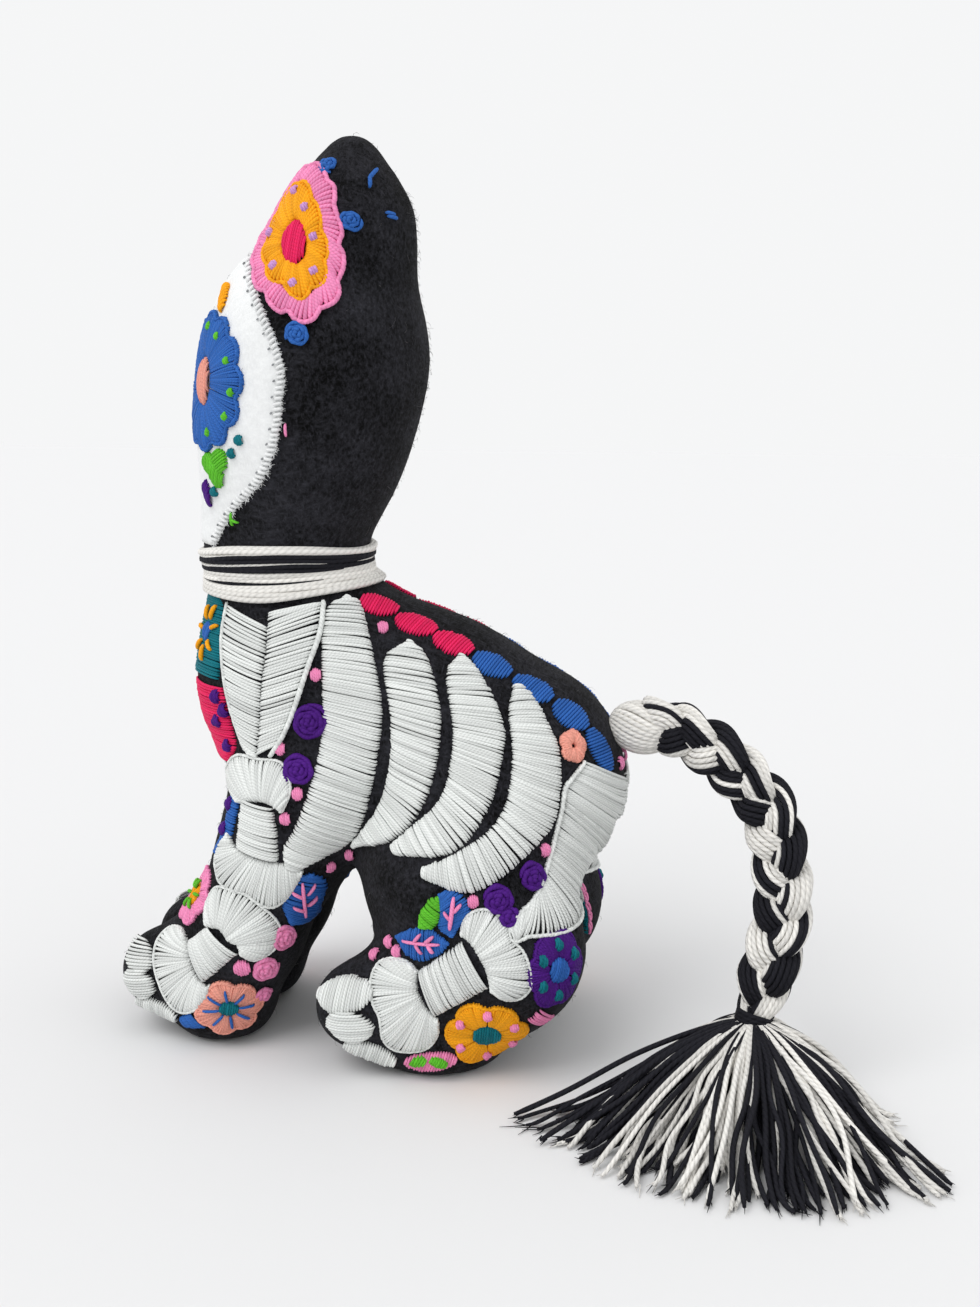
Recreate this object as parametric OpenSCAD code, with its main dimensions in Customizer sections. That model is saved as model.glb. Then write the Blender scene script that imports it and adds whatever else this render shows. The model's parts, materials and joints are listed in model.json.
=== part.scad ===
// Sitting felt animal with its head thrown back, embroidered with a skeleton and flowers.
// It is a sewn and stuffed toy: felt panels over stuffing, a collar of wound yarn, padded
// satin stitch on both flanks and a plaited yarn tail that ends in a tassel on the ground.
// Frame: +Z is up, the animal faces -X, its left flank faces -Y, and the paws stand on z = 0.

/* [Body] */
// Radius of the neck under the collar
neck_r = 25; // [22:0.5:30]
// Radius of the chest in side view
chest_r = 33.5; // [28:0.5:41]
// Radius of the loin in side view
loin_r = 33; // [28:0.5:40]
// Radius of the rump in side view
rump_r = 37; // [31:0.5:45]
// Width of the torso against its height
torso_flat = 0.85; // [0.75:0.01:1]
// Thickness of the felt
felt_t = 2; // [1.5:0.1:2.6]
// Width of the gusset under the belly
gusset_w = 22; // [16:1:28]

/* [Head] */
// Largest radius of the head in side view
head_r = 31; // [28:0.5:37]
// Height of the nose above the ground
head_top = 282; // [272:1:310]
// Radius of the rounded nose
nose_r = 8; // [6:0.5:10]
// Width of the head against its depth
head_flat = 0.92; // [0.8:0.01:1]
// Thickness of the white felt of the face
face_t = 1.4; // [1:0.1:2]

/* [Legs] */
// Radius of the shoulder
shoulder_r = 25; // [21:0.5:30]
// Radius of the front leg above the paw
shin_r = 16.5; // [14:0.5:19.8]
// Radius of the rounded toes of a front paw
toe_r = 11; // [9:0.5:13]
// Radius of the haunch
haunch_r = 32; // [27:0.5:38]
// Radius of the heel of a hind leg
heel_r = 18; // [15:0.5:21]

/* [Embroidery] */
// Thickness of the padded white stitches
bone_t = 1.6; // [1:0.1:2.2]
// Thickness of the coloured stitches
flower_t = 1.2; // [0.8:0.1:1.6]

/* [Collar] */
// Thickness of one wound band of yarn
band_d = 3.1; // [2.4:0.1:3.7]
// Height of the middle of the collar
collar_z = 151; // [148:0.5:154]

/* [Tail] */
// Width of the plait
plait_w = 16.5; // [13.5:0.5:20]
// Thickness of the plait
plait_t = 13; // [10:0.5:16]
// Radius of the yarn loop that the plait hangs from
loop_r = 7.2; // [6:0.1:8]
// Length of the tassel on the ground
tassel_len = 70; // [56:1:84]

/* [Hidden] */
// Facets of the rounded forms, and of the outlines of the embroidery
$fn = 18;
outline_fn = 10;
// Gap between the loop and what it turns against
loop_gap = 0.3;
// Clearance round the neck under the wound bands
neck_gap = 0.2;
// Middle of the neck, front to back
neck_x = -23;
// Bands of the collar from the top down: 1 is white and 0 is black
BANDS = [1, 0, 1, 0, 1];
band_gap = 0.1;
band_pitch = band_d + band_gap;
// The felt is pulled in to an upright neck between the collar's lower and upper edge
collar_lo = collar_z - band_pitch * len(BANDS) / 2 - 0.2;
collar_hi = collar_z + band_pitch * len(BANDS) / 2 + 0.2;
// Half the size of the blocks that cut the forms
big = 300;
// The lowest stitches stay this far above the ground
ground_gap = 0.4;
// How far the flank shapes reach out sideways
reach = 80;
// Nearest that a flank shape comes to the middle
mid_clear = 4;
// Plane through the middle of a front leg and of a hind leg
front_mid = 17;
hind_mid = 24;

// Each form is a run of balls: [x, y, z, radius, width against height]
TORSO = [
    [neck_x, 0, collar_lo, neck_r, 1],
    [-20, 0, 128, (neck_r + chest_r) / 2, 0.92],
    [-16, 0, 115, chest_r, torso_flat],
    [2, 0, 109, (chest_r + loin_r) / 2, torso_flat],
    [21, 0, 102, loin_r, torso_flat],
    [35, 0, 95, (loin_r + rump_r) / 2, torso_flat],
    [48, 0, 87, rump_r, torso_flat]
];
HEAD = [
    [neck_x, 0, collar_hi, neck_r, 1],
    [-20, 0, 178, (neck_r + head_r) / 2, 0.96],
    [-17, 0, 197, head_r - 1, head_flat],
    [-12, 0, 218, head_r, head_flat],
    [-7, 0, 238, head_r - 7, head_flat],
    [-2, 0, 255, head_r - 14, head_flat],
    [0, 0, head_top - nose_r - 8, nose_r + 4, head_flat],
    [0, 0, head_top - nose_r, nose_r, 1]
];
RUMP = TORSO[len(TORSO) - 1];
// Legs of the left side: hip or shoulder, shin, heel and toes
FRONT = [
    [-14, -11, 83, shoulder_r, 1],
    [-36, -front_mid, 34, shin_r, 0.96],
    [-44, -front_mid, 13, shin_r - 0.5, 1],
    [-65, -front_mid, 19, toe_r, 1]
];
HIND = [
    [37, -18, 58, haunch_r, 0.9],
    [48, -hind_mid, 37, heel_r + 5, 0.9],
    [29, -hind_mid, 10, heel_r, 0.9],
    [7, -35, 20, toe_r, 0.9]
];

// The origin is under the middle of the animal, between its front toes and its rump
mid_x = (RUMP.x + rump_r + FRONT[3].x - toe_r) / 2;

// Middle of the yarn loop, just clear of the rump where the tail is sewn on
tail_rise = 22;
loop_reach = rump_r + loop_gap + loop_r;
LOOP = [RUMP.x + loop_reach * cos(tail_rise), 0, RUMP.z + loop_reach * sin(tail_rise)];
// Route of the plait after the loop, relative to the loop, down to the knot
ROUTE = [[8, -3, 2], [12, -5, 1], [17, -7, -1], [23, -9, -4], [29, -11, -8],
         [34, -13, -13], [39, -15, -18], [42, -17, -24], [44, -20, -31], [45, -22, -38],
         [46, -24, -46], [45, -26, -54], [43, -28, -61], [42, -30, -67], [40, -31, -73],
         [38, -33, -81]];
KNOT = LOOP + ROUTE[len(ROUTE) - 1];

// ---- Rounded forms ----

// One ball of a form, grown by a level
module ball(b, level) {
    translate([b[0], b[1], b[2]]) scale([1, b[4], 1]) sphere(r = b[3] + level);
}

// Balls joined one after another
module form(balls, level) {
    for (i = [0:len(balls) - 2]) hull() {
        ball(balls[i], level);
        ball(balls[i + 1], level);
    }
}

// Moves a finished piece so that the origin is under the middle of the animal
module place() translate([-mid_x, 0, 0]) children();

module above(z) translate([-big, -big, z]) cube([2 * big, 2 * big, big]);
module below(z) translate([-big, -big, z - big]) cube([2 * big, 2 * big, big]);
module left_half() translate([-big, -big, -big]) cube([2 * big, big, 2 * big]);

// Puts a part of the left side on the side asked for: -1 is left and 1 is right
module on_side(side) {
    mirror([0, side > 0 ? 1 : 0, 0]) children();
}

// The neck inside the collar
module neck(level) {
    hull() translate([neck_x, 0, collar_lo - neck_r / 2])
        cylinder(r = neck_r + level, h = collar_hi - collar_lo + neck_r);
}

module torso(level) {
    difference() {
        form(TORSO, level);
        above(collar_lo);
    }
    neck(level);
}

module head(level) {
    difference() {
        form(HEAD, level);
        below(collar_hi);
    }
    neck(level);
}

// A left leg, whose paw joins the shin straight to the toes as well
module leg(balls, level) {
    form(balls, level);
    hull() {
        ball(balls[1], level);
        ball(balls[3], level);
    }
}

// The parts of a left leg below the torso, down to its flat sole
module leg_room(balls, level) {
    difference() {
        intersection() {
            leg(balls, level);
            left_half();
        }
        torso(0);
        below(0);
    }
}

// The left outside of torso and legs at a level above the felt
module left_skin(level) {
    torso(level);
    leg(FRONT, level);
    leg(HIND, level);
}

// ---- Felt and stuffing ----

module torso_shell() {
    difference() {
        torso(0);
        torso(-felt_t);
        above(collar_z);
    }
}

// Strip under the belly, between the legs
module gusset_room() {
    translate([-40, -gusset_w / 2, 0]) cube([100, gusset_w, 82]);
}

module body_felt(side) {
    color("#161616") on_side(side) difference() {
        intersection() {
            torso_shell();
            left_half();
        }
        gusset_room();
    }
}

module belly_gusset() {
    color("#1b1b1b") intersection() {
        torso_shell();
        gusset_room();
    }
}

module leg_felt(balls, side) {
    color("#161616") on_side(side) difference() {
        leg_room(balls, 0);
        difference() {
            intersection() {
                leg(balls, -felt_t);
                translate([0, -felt_t, 0]) left_half();
            }
            below(felt_t);
        }
    }
}

module leg_stuffing(balls, side) {
    color("#ece7dc") on_side(side) difference() {
        intersection() {
            leg(balls, -felt_t);
            translate([0, -felt_t, 0]) left_half();
        }
        torso(0);
        below(felt_t);
    }
}

module torso_stuffing() {
    color("#ece7dc") difference() {
        torso(-felt_t);
        above(collar_z);
    }
}

module head_stuffing() {
    color("#ece7dc") difference() {
        head(-felt_t);
        below(collar_z);
    }
}

module head_felt(side) {
    color("#141414") on_side(side) intersection() {
        difference() {
            head(0);
            head(-felt_t);
            below(collar_z);
        }
        left_half();
    }
}

// Side outline of the white face, which wraps round the front of the head
FACE = [[-50, 250], [-31, 244], [-23, 232], [-16, 222], [-13, 211], [-13, 200], [-15, 191],
        [-20, 182], [-28, 173], [-37, 166], [-60, 163]];

module face_panel() {
    color("#f4f3ef") intersection() {
        difference() {
            head(face_t);
            head(0);
            below(collar_hi);
        }
        rotate([90, 0, 0]) linear_extrude(2 * reach, center = true) polygon(FACE);
    }
}

// ---- Collar ----

band_ring_r = neck_r + neck_gap + band_d / 2;

module collar_bands(white) {
    for (i = [0:len(BANDS) - 1]) if (BANDS[i] == white)
        translate([neck_x, 0, collar_z + (2 - i) * band_pitch])
            rotate_extrude($fn = 96) translate([band_ring_r, 0]) circle(d = band_d, $fn = 32);
}

module collar_yarn_white() color("#e9e7e2") collar_bands(1);
module collar_yarn_black() color("#151515") collar_bands(0);

// ---- Embroidery on the flanks ----

// A slab of thread between two levels, cut to the children's outline in side view
module stitched(side, low, high, inner = mid_clear) {
    on_side(side) intersection() {
        difference() {
            left_skin(high);
            left_skin(low);
            above(collar_lo);
            below(ground_gap);
        }
        translate([0, -inner, 0]) rotate([90, 0, 0]) linear_extrude(reach) children();
    }
}

// The same on the head
module head_stitched(side, low, high, inner = mid_clear) {
    on_side(side) intersection() {
        difference() {
            head(high);
            head(low);
            below(collar_hi);
        }
        translate([0, -inner, 0]) rotate([90, 0, 0]) linear_extrude(reach) children();
    }
}

// A tapering bar through stations of [x, z, half width]
module bar(stations) {
    for (i = [0:len(stations) - 2]) hull() for (s = [stations[i], stations[i + 1]])
        translate([s[0], s[1]]) circle(r = s[2], $fn = outline_fn);
}

// An oval of half length a and half width b, turned by an angle
module oval(x, z, a, b, turn = 0) {
    translate([x, z]) rotate(turn) scale([1, b / a]) circle(r = a, $fn = outline_fn);
}

// A flower of round petals about its middle
module petals(x, z, a, b, count) {
    translate([x, z]) scale([1, b / a]) {
        circle(r = a * 0.72, $fn = outline_fn);
        for (i = [0:count - 1])
            rotate(360 * i / count) translate([a * 0.66, 0]) circle(r = a * 0.34, $fn = 8);
    }
}

// Centre line of each rib: [x, z, half width]
RIBS = [
    [[0, 143, 2.5], [1, 138, 5.5], [5, 117, 9], [4, 100, 9], [0, 85, 9.5], [-5.5, 73, 7.5], [-9, 68.5, 4]],
    [[19, 132, 2], [20.5, 126, 5], [24.5, 112, 7.5], [24, 97, 7], [20, 84, 6], [13, 76, 4.5], [6, 71, 1.5]],
    [[37, 124, 2], [39, 119.5, 5], [43, 108, 7.5], [43, 94, 7.5], [40, 85, 7], [33, 78, 5.5], [23, 73, 2]],
    [[54.5, 113.5, 2], [56.5, 109.5, 4.5], [60, 101, 6.5], [60, 87, 7], [57, 77, 7], [47, 70, 5.5],
     [35, 67, 2.5]]
];

module ribs(side) {
    color("#e8e8e4") stitched(side, 0, bone_t) for (r = RIBS) bar(r);
}

module shoulder_blade(side) {
    color("#e8e8e4") stitched(side, 0, bone_t, 8) {
        polygon([[-38, 143], [-36, 130], [-33, 113], [-28, 98], [-25.5, 98], [-23.5, 112], [-24, 142]]);
        polygon([[-22.5, 142], [-13, 145], [-5, 144], [-7, 131], [-13, 113], [-24, 97.5], [-22.5, 112]]);
    }
}

module arm_bones(side) {
    color("#e8e8e4") stitched(side, 0, bone_t, 12) {
        intersection() {
            oval(-25, 83, 12.5, 13.5);
            translate([-45, 83.5]) square([40, 20]);
        }
        translate([-32, 67.5]) square([14, 15.5]);
        intersection() {
            oval(-29, 66.5, 14.2, 17);
            translate([-50, 40]) square([45, 26.5]);
        }
    }
}

module front_paw_bones(side) {
    color("#e8e8e4") stitched(side, 0, bone_t, front_mid) {
        polygon([[-38, 51.5], [-30, 48.5], [-21, 47], [-19, 40], [-24, 33.5], [-29, 33.5], [-36, 42],
                 [-42, 43], [-43, 47.5]]);
        polygon([[-41.5, 41], [-36.5, 40], [-30.5, 33], [-39.5, 23.5], [-45.5, 32]]);
        polygon([[-62, 33], [-55, 38], [-49, 37], [-46.5, 31], [-41.5, 22], [-43.5, 17], [-51, 12],
                 [-58, 15], [-62, 21], [-63.5, 27]]);
    }
}

module front_toes(side) {
    color("#e8e8e4") stitched(side, 0, bone_t, front_mid) {
        oval(-69.5, 26, 5, 4);
        oval(-69.5, 17.5, 5.2, 3.4, -15);
        oval(-62, 9.5, 5.5, 2.6, -25);
    }
}

module hip_bone(side) {
    color("#e8e8e4") stitched(side, 0, bone_t, 7)
        bar([[77, 91, 4.5], [75, 84, 7], [73, 72, 8.5], [70, 60, 8], [64.5, 53.5, 5], [60, 51, 2.2]]);
}

module hind_paw_bones(side) {
    color("#e8e8e4") stitched(side, 0, bone_t, hind_mid) {
        polygon([[41.5, 52], [45, 57.5], [50, 56], [53.5, 51.5], [58, 45.5], [60.5, 40], [59, 31.5],
                 [53, 31], [50.5, 37], [45.5, 46.5]]);
        polygon([[41, 49], [49.5, 36], [36, 25], [29.5, 36]]);
        polygon([[13, 34], [18, 39], [25, 40], [28.5, 35.5], [34.5, 24], [35, 14], [28, 10], [19, 11],
                 [15.5, 21]]);
    }
}

module hind_toes(side) {
    color("#e8e8e4") stitched(side, 0, bone_t, 37) {
        oval(4.5, 28, 7, 4, 20);
        oval(5, 18.5, 7.5, 4);
        oval(12, 9.5, 7.5, 3, -20);
    }
}

module head_flower(side) {
    color("#f490bd") head_stitched(side, 0, flower_t) difference() {
        petals(-12, 249.5, 14, 20.5, 10);
        oval(-12, 249.5, 9.2, 13.7);
    }
    color("#f8a71c") head_stitched(side, 0, flower_t) difference() {
        oval(-12, 249.5, 9, 13.5);
        oval(-12, 250.5, 4.2, 8);
    }
    color("#e6145f") head_stitched(side, 0, flower_t) oval(-12, 250.5, 3.9, 7.7);
}

module eye_flower(side) {
    color("#3765b4") head_stitched(side, face_t, face_t + flower_t, 8) difference() {
        petals(-35, 209, 11.5, 18, 10);
        oval(-38.5, 209, 3.2, 6.4);
    }
    color("#f6b0a4") head_stitched(side, face_t, face_t + flower_t, 8) oval(-38.5, 209, 3, 6.2);
}

// Ovals in a row on each side of the spine
module spine_ovals_magenta() {
    color("#ec1c66") for (side = [-1, 1]) stitched(side, 0, flower_t, 8) {
        oval(11, 143, 6, 4, -22);
        oval(22, 138, 6.5, 4.5, -25);
        oval(34, 132.5, 6.5, 4.5, -28);
    }
}

module spine_ovals_blue() {
    color("#2361b6") for (side = [-1, 1]) stitched(side, 0, flower_t, 6) {
        oval(46, 126.5, 6, 4.5, -30);
        oval(58.5, 119.5, 6.5, 4.5, -34);
        oval(70, 111.5, 6.5, 4.5, -42);
        oval(77.5, 104, 5.2, 3.6, -60);
    }
}

module chest_flowers(side) {
    color("#1b7d86") stitched(side, 0, flower_t) oval(-43, 130, 7, 13);
    color("#ea1a63") stitched(side, 0, flower_t) oval(-42, 105, 8, 10.5, -8);
    color("#2a62b8") stitched(side, 0, flower_t, 12) oval(-41.5, 78, 3.4, 10.5, 3);
    color("#f27db0") stitched(side, 0, flower_t, front_mid) oval(-47.5, 50, 5, 10, -30);
}

module purple_roses(side) {
    color("#47157c") stitched(side, 0, flower_t) {
        oval(-9.8, 106, 4, 5.4);
        oval(-11.2, 93.5, 3.4, 5);
        oval(56.8, 59.8, 2.6, 3.2);
    }
    color("#f3a49c") stitched(side, 0, flower_t) oval(70.4, 98.5, 2.8, 3.8);
}

module haunch_flower(side) {
    color("#45147a") stitched(side, 0, flower_t, 10) petals(70.5, 34, 8.5, 12, 6);
}

module gold_flower(side) {
    color("#f8a71c") stitched(side, 0, flower_t, hind_mid) difference() {
        petals(47.5, 16.5, 12.5, 12.5, 6);
        oval(47.5, 16.5, 4, 4);
    }
    color("#12727c") stitched(side, 0, flower_t, hind_mid) oval(47.5, 16.5, 3.8, 3.8);
}

module salmon_flower(side) {
    color("#f2968c") stitched(side, 0, flower_t, front_mid) difference() {
        petals(-35, 12.5, 6.5, 8.5, 7);
        oval(-35, 12.5, 2, 2.4);
    }
    color("#16747c") stitched(side, 0, flower_t, front_mid) oval(-35, 12.5, 1.8, 2.2);
}

module leaf_sprigs(side) {
    color("#2c66bb") stitched(side, 0, flower_t, hind_mid) {
        oval(26.5, 46, 7, 4.5, 15);
        oval(38.5, 57, 4.2, 3.2, 70);
    }
    color("#5fc328") stitched(side, 0, flower_t, hind_mid) oval(30.5, 54.5, 4, 2.2, 60);
    color("#2c66bb") stitched(side, 0, flower_t, 12) oval(-9.5, 48, 3.6, 8, -20);
}

// ---- Tail ----

function unit(v) = v / norm(v);

// One ring of the plait at each point of its route
line = concat([LOOP], [for (p = ROUTE) LOOP + p]);
ring_count = len(line);
ring_sides = 12;
// The plait draws in towards the tie
tie_r = 5;
function plait_scale(i) = i > ring_count - 3 ? tie_r * 2 / plait_w : 1;
function along(i) = unit(line[min(i + 1, ring_count - 1)] - line[max(i - 1, 0)]);
// The broad side of the plait lies in the plane of the route
function across(i) = unit(cross(along(i), unit(cross(along(i), [0.15, 1, 0]))));
function over(i) = cross(along(i), across(i));
function ring(i) = [for (k = [0:ring_sides - 1]) let (a = 360 * k / ring_sides)
    line[i] + plait_scale(i) * (across(i) * cos(a) * plait_w / 2 + over(i) * sin(a) * plait_t / 2)];

// Closed solid through rings of the same number of points
module swept(rings) {
    n = len(rings[0]);
    m = len(rings);
    polyhedron(
        points = [for (r = rings, p = r) p],
        faces = concat(
            [[for (k = [0:n - 1]) k]],
            [for (i = [0:m - 2], k = [0:n - 1])
                [i * n + (k + 1) % n, i * n + k, (i + 1) * n + k, (i + 1) * n + (k + 1) % n]],
            [[for (k = [n - 1:-1:0]) (m - 1) * n + k]]
        ),
        convexity = 6
    );
}

module tail_loop() {
    color("#f0eeea") translate(LOOP) sphere(r = loop_r, $fn = 48);
}

module tail_plait() {
    color("#3a3a3c") difference() {
        swept([for (i = [0:ring_count - 1]) ring(i)]);
        translate(LOOP) sphere(r = loop_r + loop_gap, $fn = 48);
    }
}

// Turns the children to stand along a direction
module along_direction(d) {
    rotate([0, acos(d.z / norm(d)), atan2(d.y, d.x)]) children();
}

tie_d = 2.6;

module tail_tie() {
    color("#1a1a1a") translate(line[ring_count - 1] - along(ring_count - 1) * 1.6)
        along_direction(along(ring_count - 1))
            rotate_extrude($fn = 64) translate([tie_r + loop_gap + tie_d / 2, 0]) circle(d = tie_d, $fn = 24);
}

// The tassel fans out on the ground from below the knot
tassel_from = 204;
tassel_to = 324;
tassel_steps = 12;
tassel_mid = [KNOT.x, KNOT.y];
// Distance from the middle and height of the fan at each station; share 1 is its upper face
function fan_stations(share) = [
    [1.5, 3 + share * (KNOT.z - 3.2)], [6, 2 + share * 15], [12, 1 + share * 9], [25, 0.5 + share * 5],
    [tassel_len * 0.7, 0.5 + share * 4.4], [tassel_len, 0.4 + share * 3.6]
];
function fan_point(angle, station) =
    [tassel_mid.x + station[0] * cos(angle), tassel_mid.y + station[0] * sin(angle), station[1]];

// Fan between two heights, given as shares of its full height
module fan(low, high) {
    swept([for (s = [0:tassel_steps]) let (angle = tassel_from + (tassel_to - tassel_from) * s / tassel_steps)
        concat([for (p = fan_stations(low)) fan_point(angle, p)],
               [for (i = [5:-1:0]) fan_point(angle, fan_stations(high)[i])])]);
}

module tassel_black() color("#17171a") fan(0, 0.5);
module tassel_white() color("#efece6") fan(0.5, 1);

place() body_felt(-1);  // body_felt_left
place() body_felt(1);  // body_felt_right
place() belly_gusset();
place() leg_felt(FRONT, -1);  // front_leg_felt_left
place() leg_felt(FRONT, 1);  // front_leg_felt_right
place() leg_felt(HIND, -1);  // hind_leg_felt_left
place() leg_felt(HIND, 1);  // hind_leg_felt_right
place() torso_stuffing();
place() head_stuffing();
place() leg_stuffing(FRONT, -1);  // front_leg_stuffing_left
place() leg_stuffing(FRONT, 1);  // front_leg_stuffing_right
place() leg_stuffing(HIND, -1);  // hind_leg_stuffing_left
place() leg_stuffing(HIND, 1);  // hind_leg_stuffing_right
place() head_felt(-1);  // head_felt_left
place() head_felt(1);  // head_felt_right
place() face_panel();
place() collar_yarn_white();
place() collar_yarn_black();
place() ribs(-1);  // ribs_left
place() ribs(1);  // ribs_right
place() shoulder_blade(-1);  // shoulder_blade_left
place() shoulder_blade(1);  // shoulder_blade_right
place() arm_bones(-1);  // arm_bones_left
place() arm_bones(1);  // arm_bones_right
place() front_paw_bones(-1);  // front_paw_bones_left
place() front_paw_bones(1);  // front_paw_bones_right
place() front_toes(-1);  // front_toes_left
place() front_toes(1);  // front_toes_right
place() hip_bone(-1);  // hip_bone_left
place() hip_bone(1);  // hip_bone_right
place() hind_paw_bones(-1);  // hind_paw_bones_left
place() hind_paw_bones(1);  // hind_paw_bones_right
place() hind_toes(-1);  // hind_toes_left
place() hind_toes(1);  // hind_toes_right
place() head_flower(-1);  // head_flower_left
place() head_flower(1);  // head_flower_right
place() eye_flower(-1);  // eye_flower_left
place() eye_flower(1);  // eye_flower_right
place() spine_ovals_magenta();
place() spine_ovals_blue();
place() chest_flowers(-1);  // chest_flowers_left
place() chest_flowers(1);  // chest_flowers_right
place() purple_roses(-1);  // purple_roses_left
place() purple_roses(1);  // purple_roses_right
place() haunch_flower(-1);  // haunch_flower_left
place() haunch_flower(1);  // haunch_flower_right
place() gold_flower(-1);  // gold_flower_left
place() gold_flower(1);  // gold_flower_right
place() salmon_flower(-1);  // salmon_flower_left
place() salmon_flower(1);  // salmon_flower_right
place() leaf_sprigs(-1);  // leaf_sprigs_left
place() leaf_sprigs(1);  // leaf_sprigs_right
place() tail_loop();
place() tail_plait();
place() tail_tie();
place() tassel_black();
place() tassel_white();
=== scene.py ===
"""Embroidered felt animal, laid out as an add-on and run as a script.

A sitting stuffed animal of black felt throws its head back. Its flanks carry a skeleton in padded
white stitches and flowers in coloured thread, its face is a panel of white felt, a collar of wound
yarn draws in the neck, and a plaited yarn tail hangs from the rump and ends in a tassel.

Lengths in the tables are millimetres in the animal's own frame: x towards the tail, y away from the
left flank, z up, with the paws on z = 0. place() turns them into metres in the shared frame.
"""

import json
import math

import bpy
import numpy as np
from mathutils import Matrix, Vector


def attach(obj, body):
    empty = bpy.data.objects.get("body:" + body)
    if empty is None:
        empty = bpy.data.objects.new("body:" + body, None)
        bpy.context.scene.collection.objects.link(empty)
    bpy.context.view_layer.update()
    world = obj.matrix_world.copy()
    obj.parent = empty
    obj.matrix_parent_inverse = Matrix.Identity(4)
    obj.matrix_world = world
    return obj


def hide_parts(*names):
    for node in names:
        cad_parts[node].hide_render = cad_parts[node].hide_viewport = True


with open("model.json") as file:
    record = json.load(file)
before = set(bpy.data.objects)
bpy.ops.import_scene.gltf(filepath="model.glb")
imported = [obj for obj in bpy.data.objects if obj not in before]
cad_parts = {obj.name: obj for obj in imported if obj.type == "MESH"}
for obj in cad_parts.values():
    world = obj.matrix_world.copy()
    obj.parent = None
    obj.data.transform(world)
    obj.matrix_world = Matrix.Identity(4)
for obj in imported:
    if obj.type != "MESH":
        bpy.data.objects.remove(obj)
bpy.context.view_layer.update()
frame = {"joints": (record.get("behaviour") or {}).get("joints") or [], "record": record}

bl_info = {
    "name": "Embroidered Felt Animal",
    "version": (1, 0, 0),
    "blender": (4, 5, 0),
    "location": "3D View > Sidebar > Felt Animal",
    "description": "Builds a stuffed felt animal with embroidered flanks and a plaited yarn tail",
    "category": "Add Mesh",
}

MM = 0.001

# Balls of each form: x, y, z, radius
TORSO = ((-23, 0, 150, 23), (-16, 0, 116, 33.5), (21, 0, 102, 33), (48, 0, 87, 37))
HEAD = ((-25, 0, 158, 25), (-17, 0, 195, 30), (-12, 0, 218, 31), (-1.5, 0, 255, 17), (0, 0, 274, 8))
FRONT_LEG = ((-14, -11, 83, 25), (-36, -16, 34, 16.5), (-44, -16, 13, 16), (-65, -16, 19, 11))
HIND_LEG = ((37, -18, 58, 32), (49, -24, 37, 23), (29, -24, 9, 18), (7, -35, 20, 11))
# Links between the balls of a run, and those of a leg whose shin also joins its toes
RUN = ((0, 1), (1, 2), (2, 3))
LEG = RUN + ((1, 3),)
# Width of each form against its depth, and how softly its balls run together
TORSO_FLAT, TORSO_SOFT = 0.85, 14
HEAD_FLAT, HEAD_SOFT = 0.92, 14
FRONT_FLAT, FRONT_SOFT = 1.0, 8
HIND_FLAT, HIND_SOFT = 0.9, 10
LEG_SOFT = 12
NECK_SOFT = 8
SOLE_SOFT = 3

# The shared frame's origin is under the middle between the front toes and the rump
MID_X = (TORSO[-1][0] + TORSO[-1][3] + FRONT_LEG[-1][0] - FRONT_LEG[-1][3]) / 2
COLLAR_Z = 151
# How far the collar draws the neck in, and over what height
NECK_PINCH, NECK_REACH = 1.6, 5.5
# How far the face lies back to make room for its felt: forwards of an x, and about a height
FACE_INSET = 1.3
FACE_X, FACE_RUN = -18, 16
FACE_Z, FACE_REACH = 207, 34


def place(points):
    """Millimetres in the animal's frame to metres in the shared frame: a shift along x and a scale."""
    return (np.asarray(points, float) - (MID_X, 0, 0)) * MM


# ---- Form of the animal ----


def unit(v):
    """Directions of the same way and length one."""
    return v / np.maximum(np.linalg.norm(v, axis=-1, keepdims=True), 1e-9)


def circle(turn, u, v):
    """Points of the unit circle in the plane of u and v: u cos(turn) + v sin(turn)."""
    return np.cos(turn)[..., None] * u + np.sin(turn)[..., None] * v


def round_cone(p, a, b, flat):
    """Distance to the hull of two balls: the slanting side between them, or the nearer ball."""
    squeeze = np.array([1, 1 / flat, 1])
    low, high = np.array(a[:3], float) * squeeze, np.array(b[:3], float) * squeeze
    axis, taper = high - low, a[3] - b[3]
    long2 = axis @ axis
    side2 = long2 - taper * taper
    rel = p * squeeze - low
    along = rel @ axis
    past = along - long2
    across2 = ((rel * long2 - along[..., None] * axis) ** 2).sum(-1)
    low2, high2 = along * along * long2, past * past * long2
    k = np.sign(taper) * taper * taper * across2
    d = (np.sqrt(across2 * side2 / long2) + along * taper) / long2 - a[3]
    at_high = np.sign(past) * side2 * high2 > k
    at_low = (np.sign(along) * side2 * low2 < k) & ~at_high
    d = np.where(at_low, np.sqrt(across2 + low2) / long2 - a[3], d)
    d = np.where(at_high, np.sqrt(across2 + high2) / long2 - b[3], d)
    return d * math.sqrt(flat)


def soft_min(a, b, soft):
    """The smaller of two distances, rounded where they are within soft of each other."""
    h = np.maximum(soft - np.abs(a - b), 0) / soft
    return np.minimum(a, b) - h * h * soft / 4


def form(p, balls, links, flat, soft):
    """Distance to a run of balls, softly joined."""
    d = round_cone(p, balls[links[0][0]], balls[links[0][1]], flat)
    for i, j in links[1:]:
        d = soft_min(d, round_cone(p, balls[i], balls[j], flat), soft)
    return d


def head_field(p):
    """Distance to the head in millimetres, negative inside."""
    links = tuple((i, i + 1) for i in range(len(HEAD) - 1))
    return form(p, HEAD, links, HEAD_FLAT, HEAD_SOFT)


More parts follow.
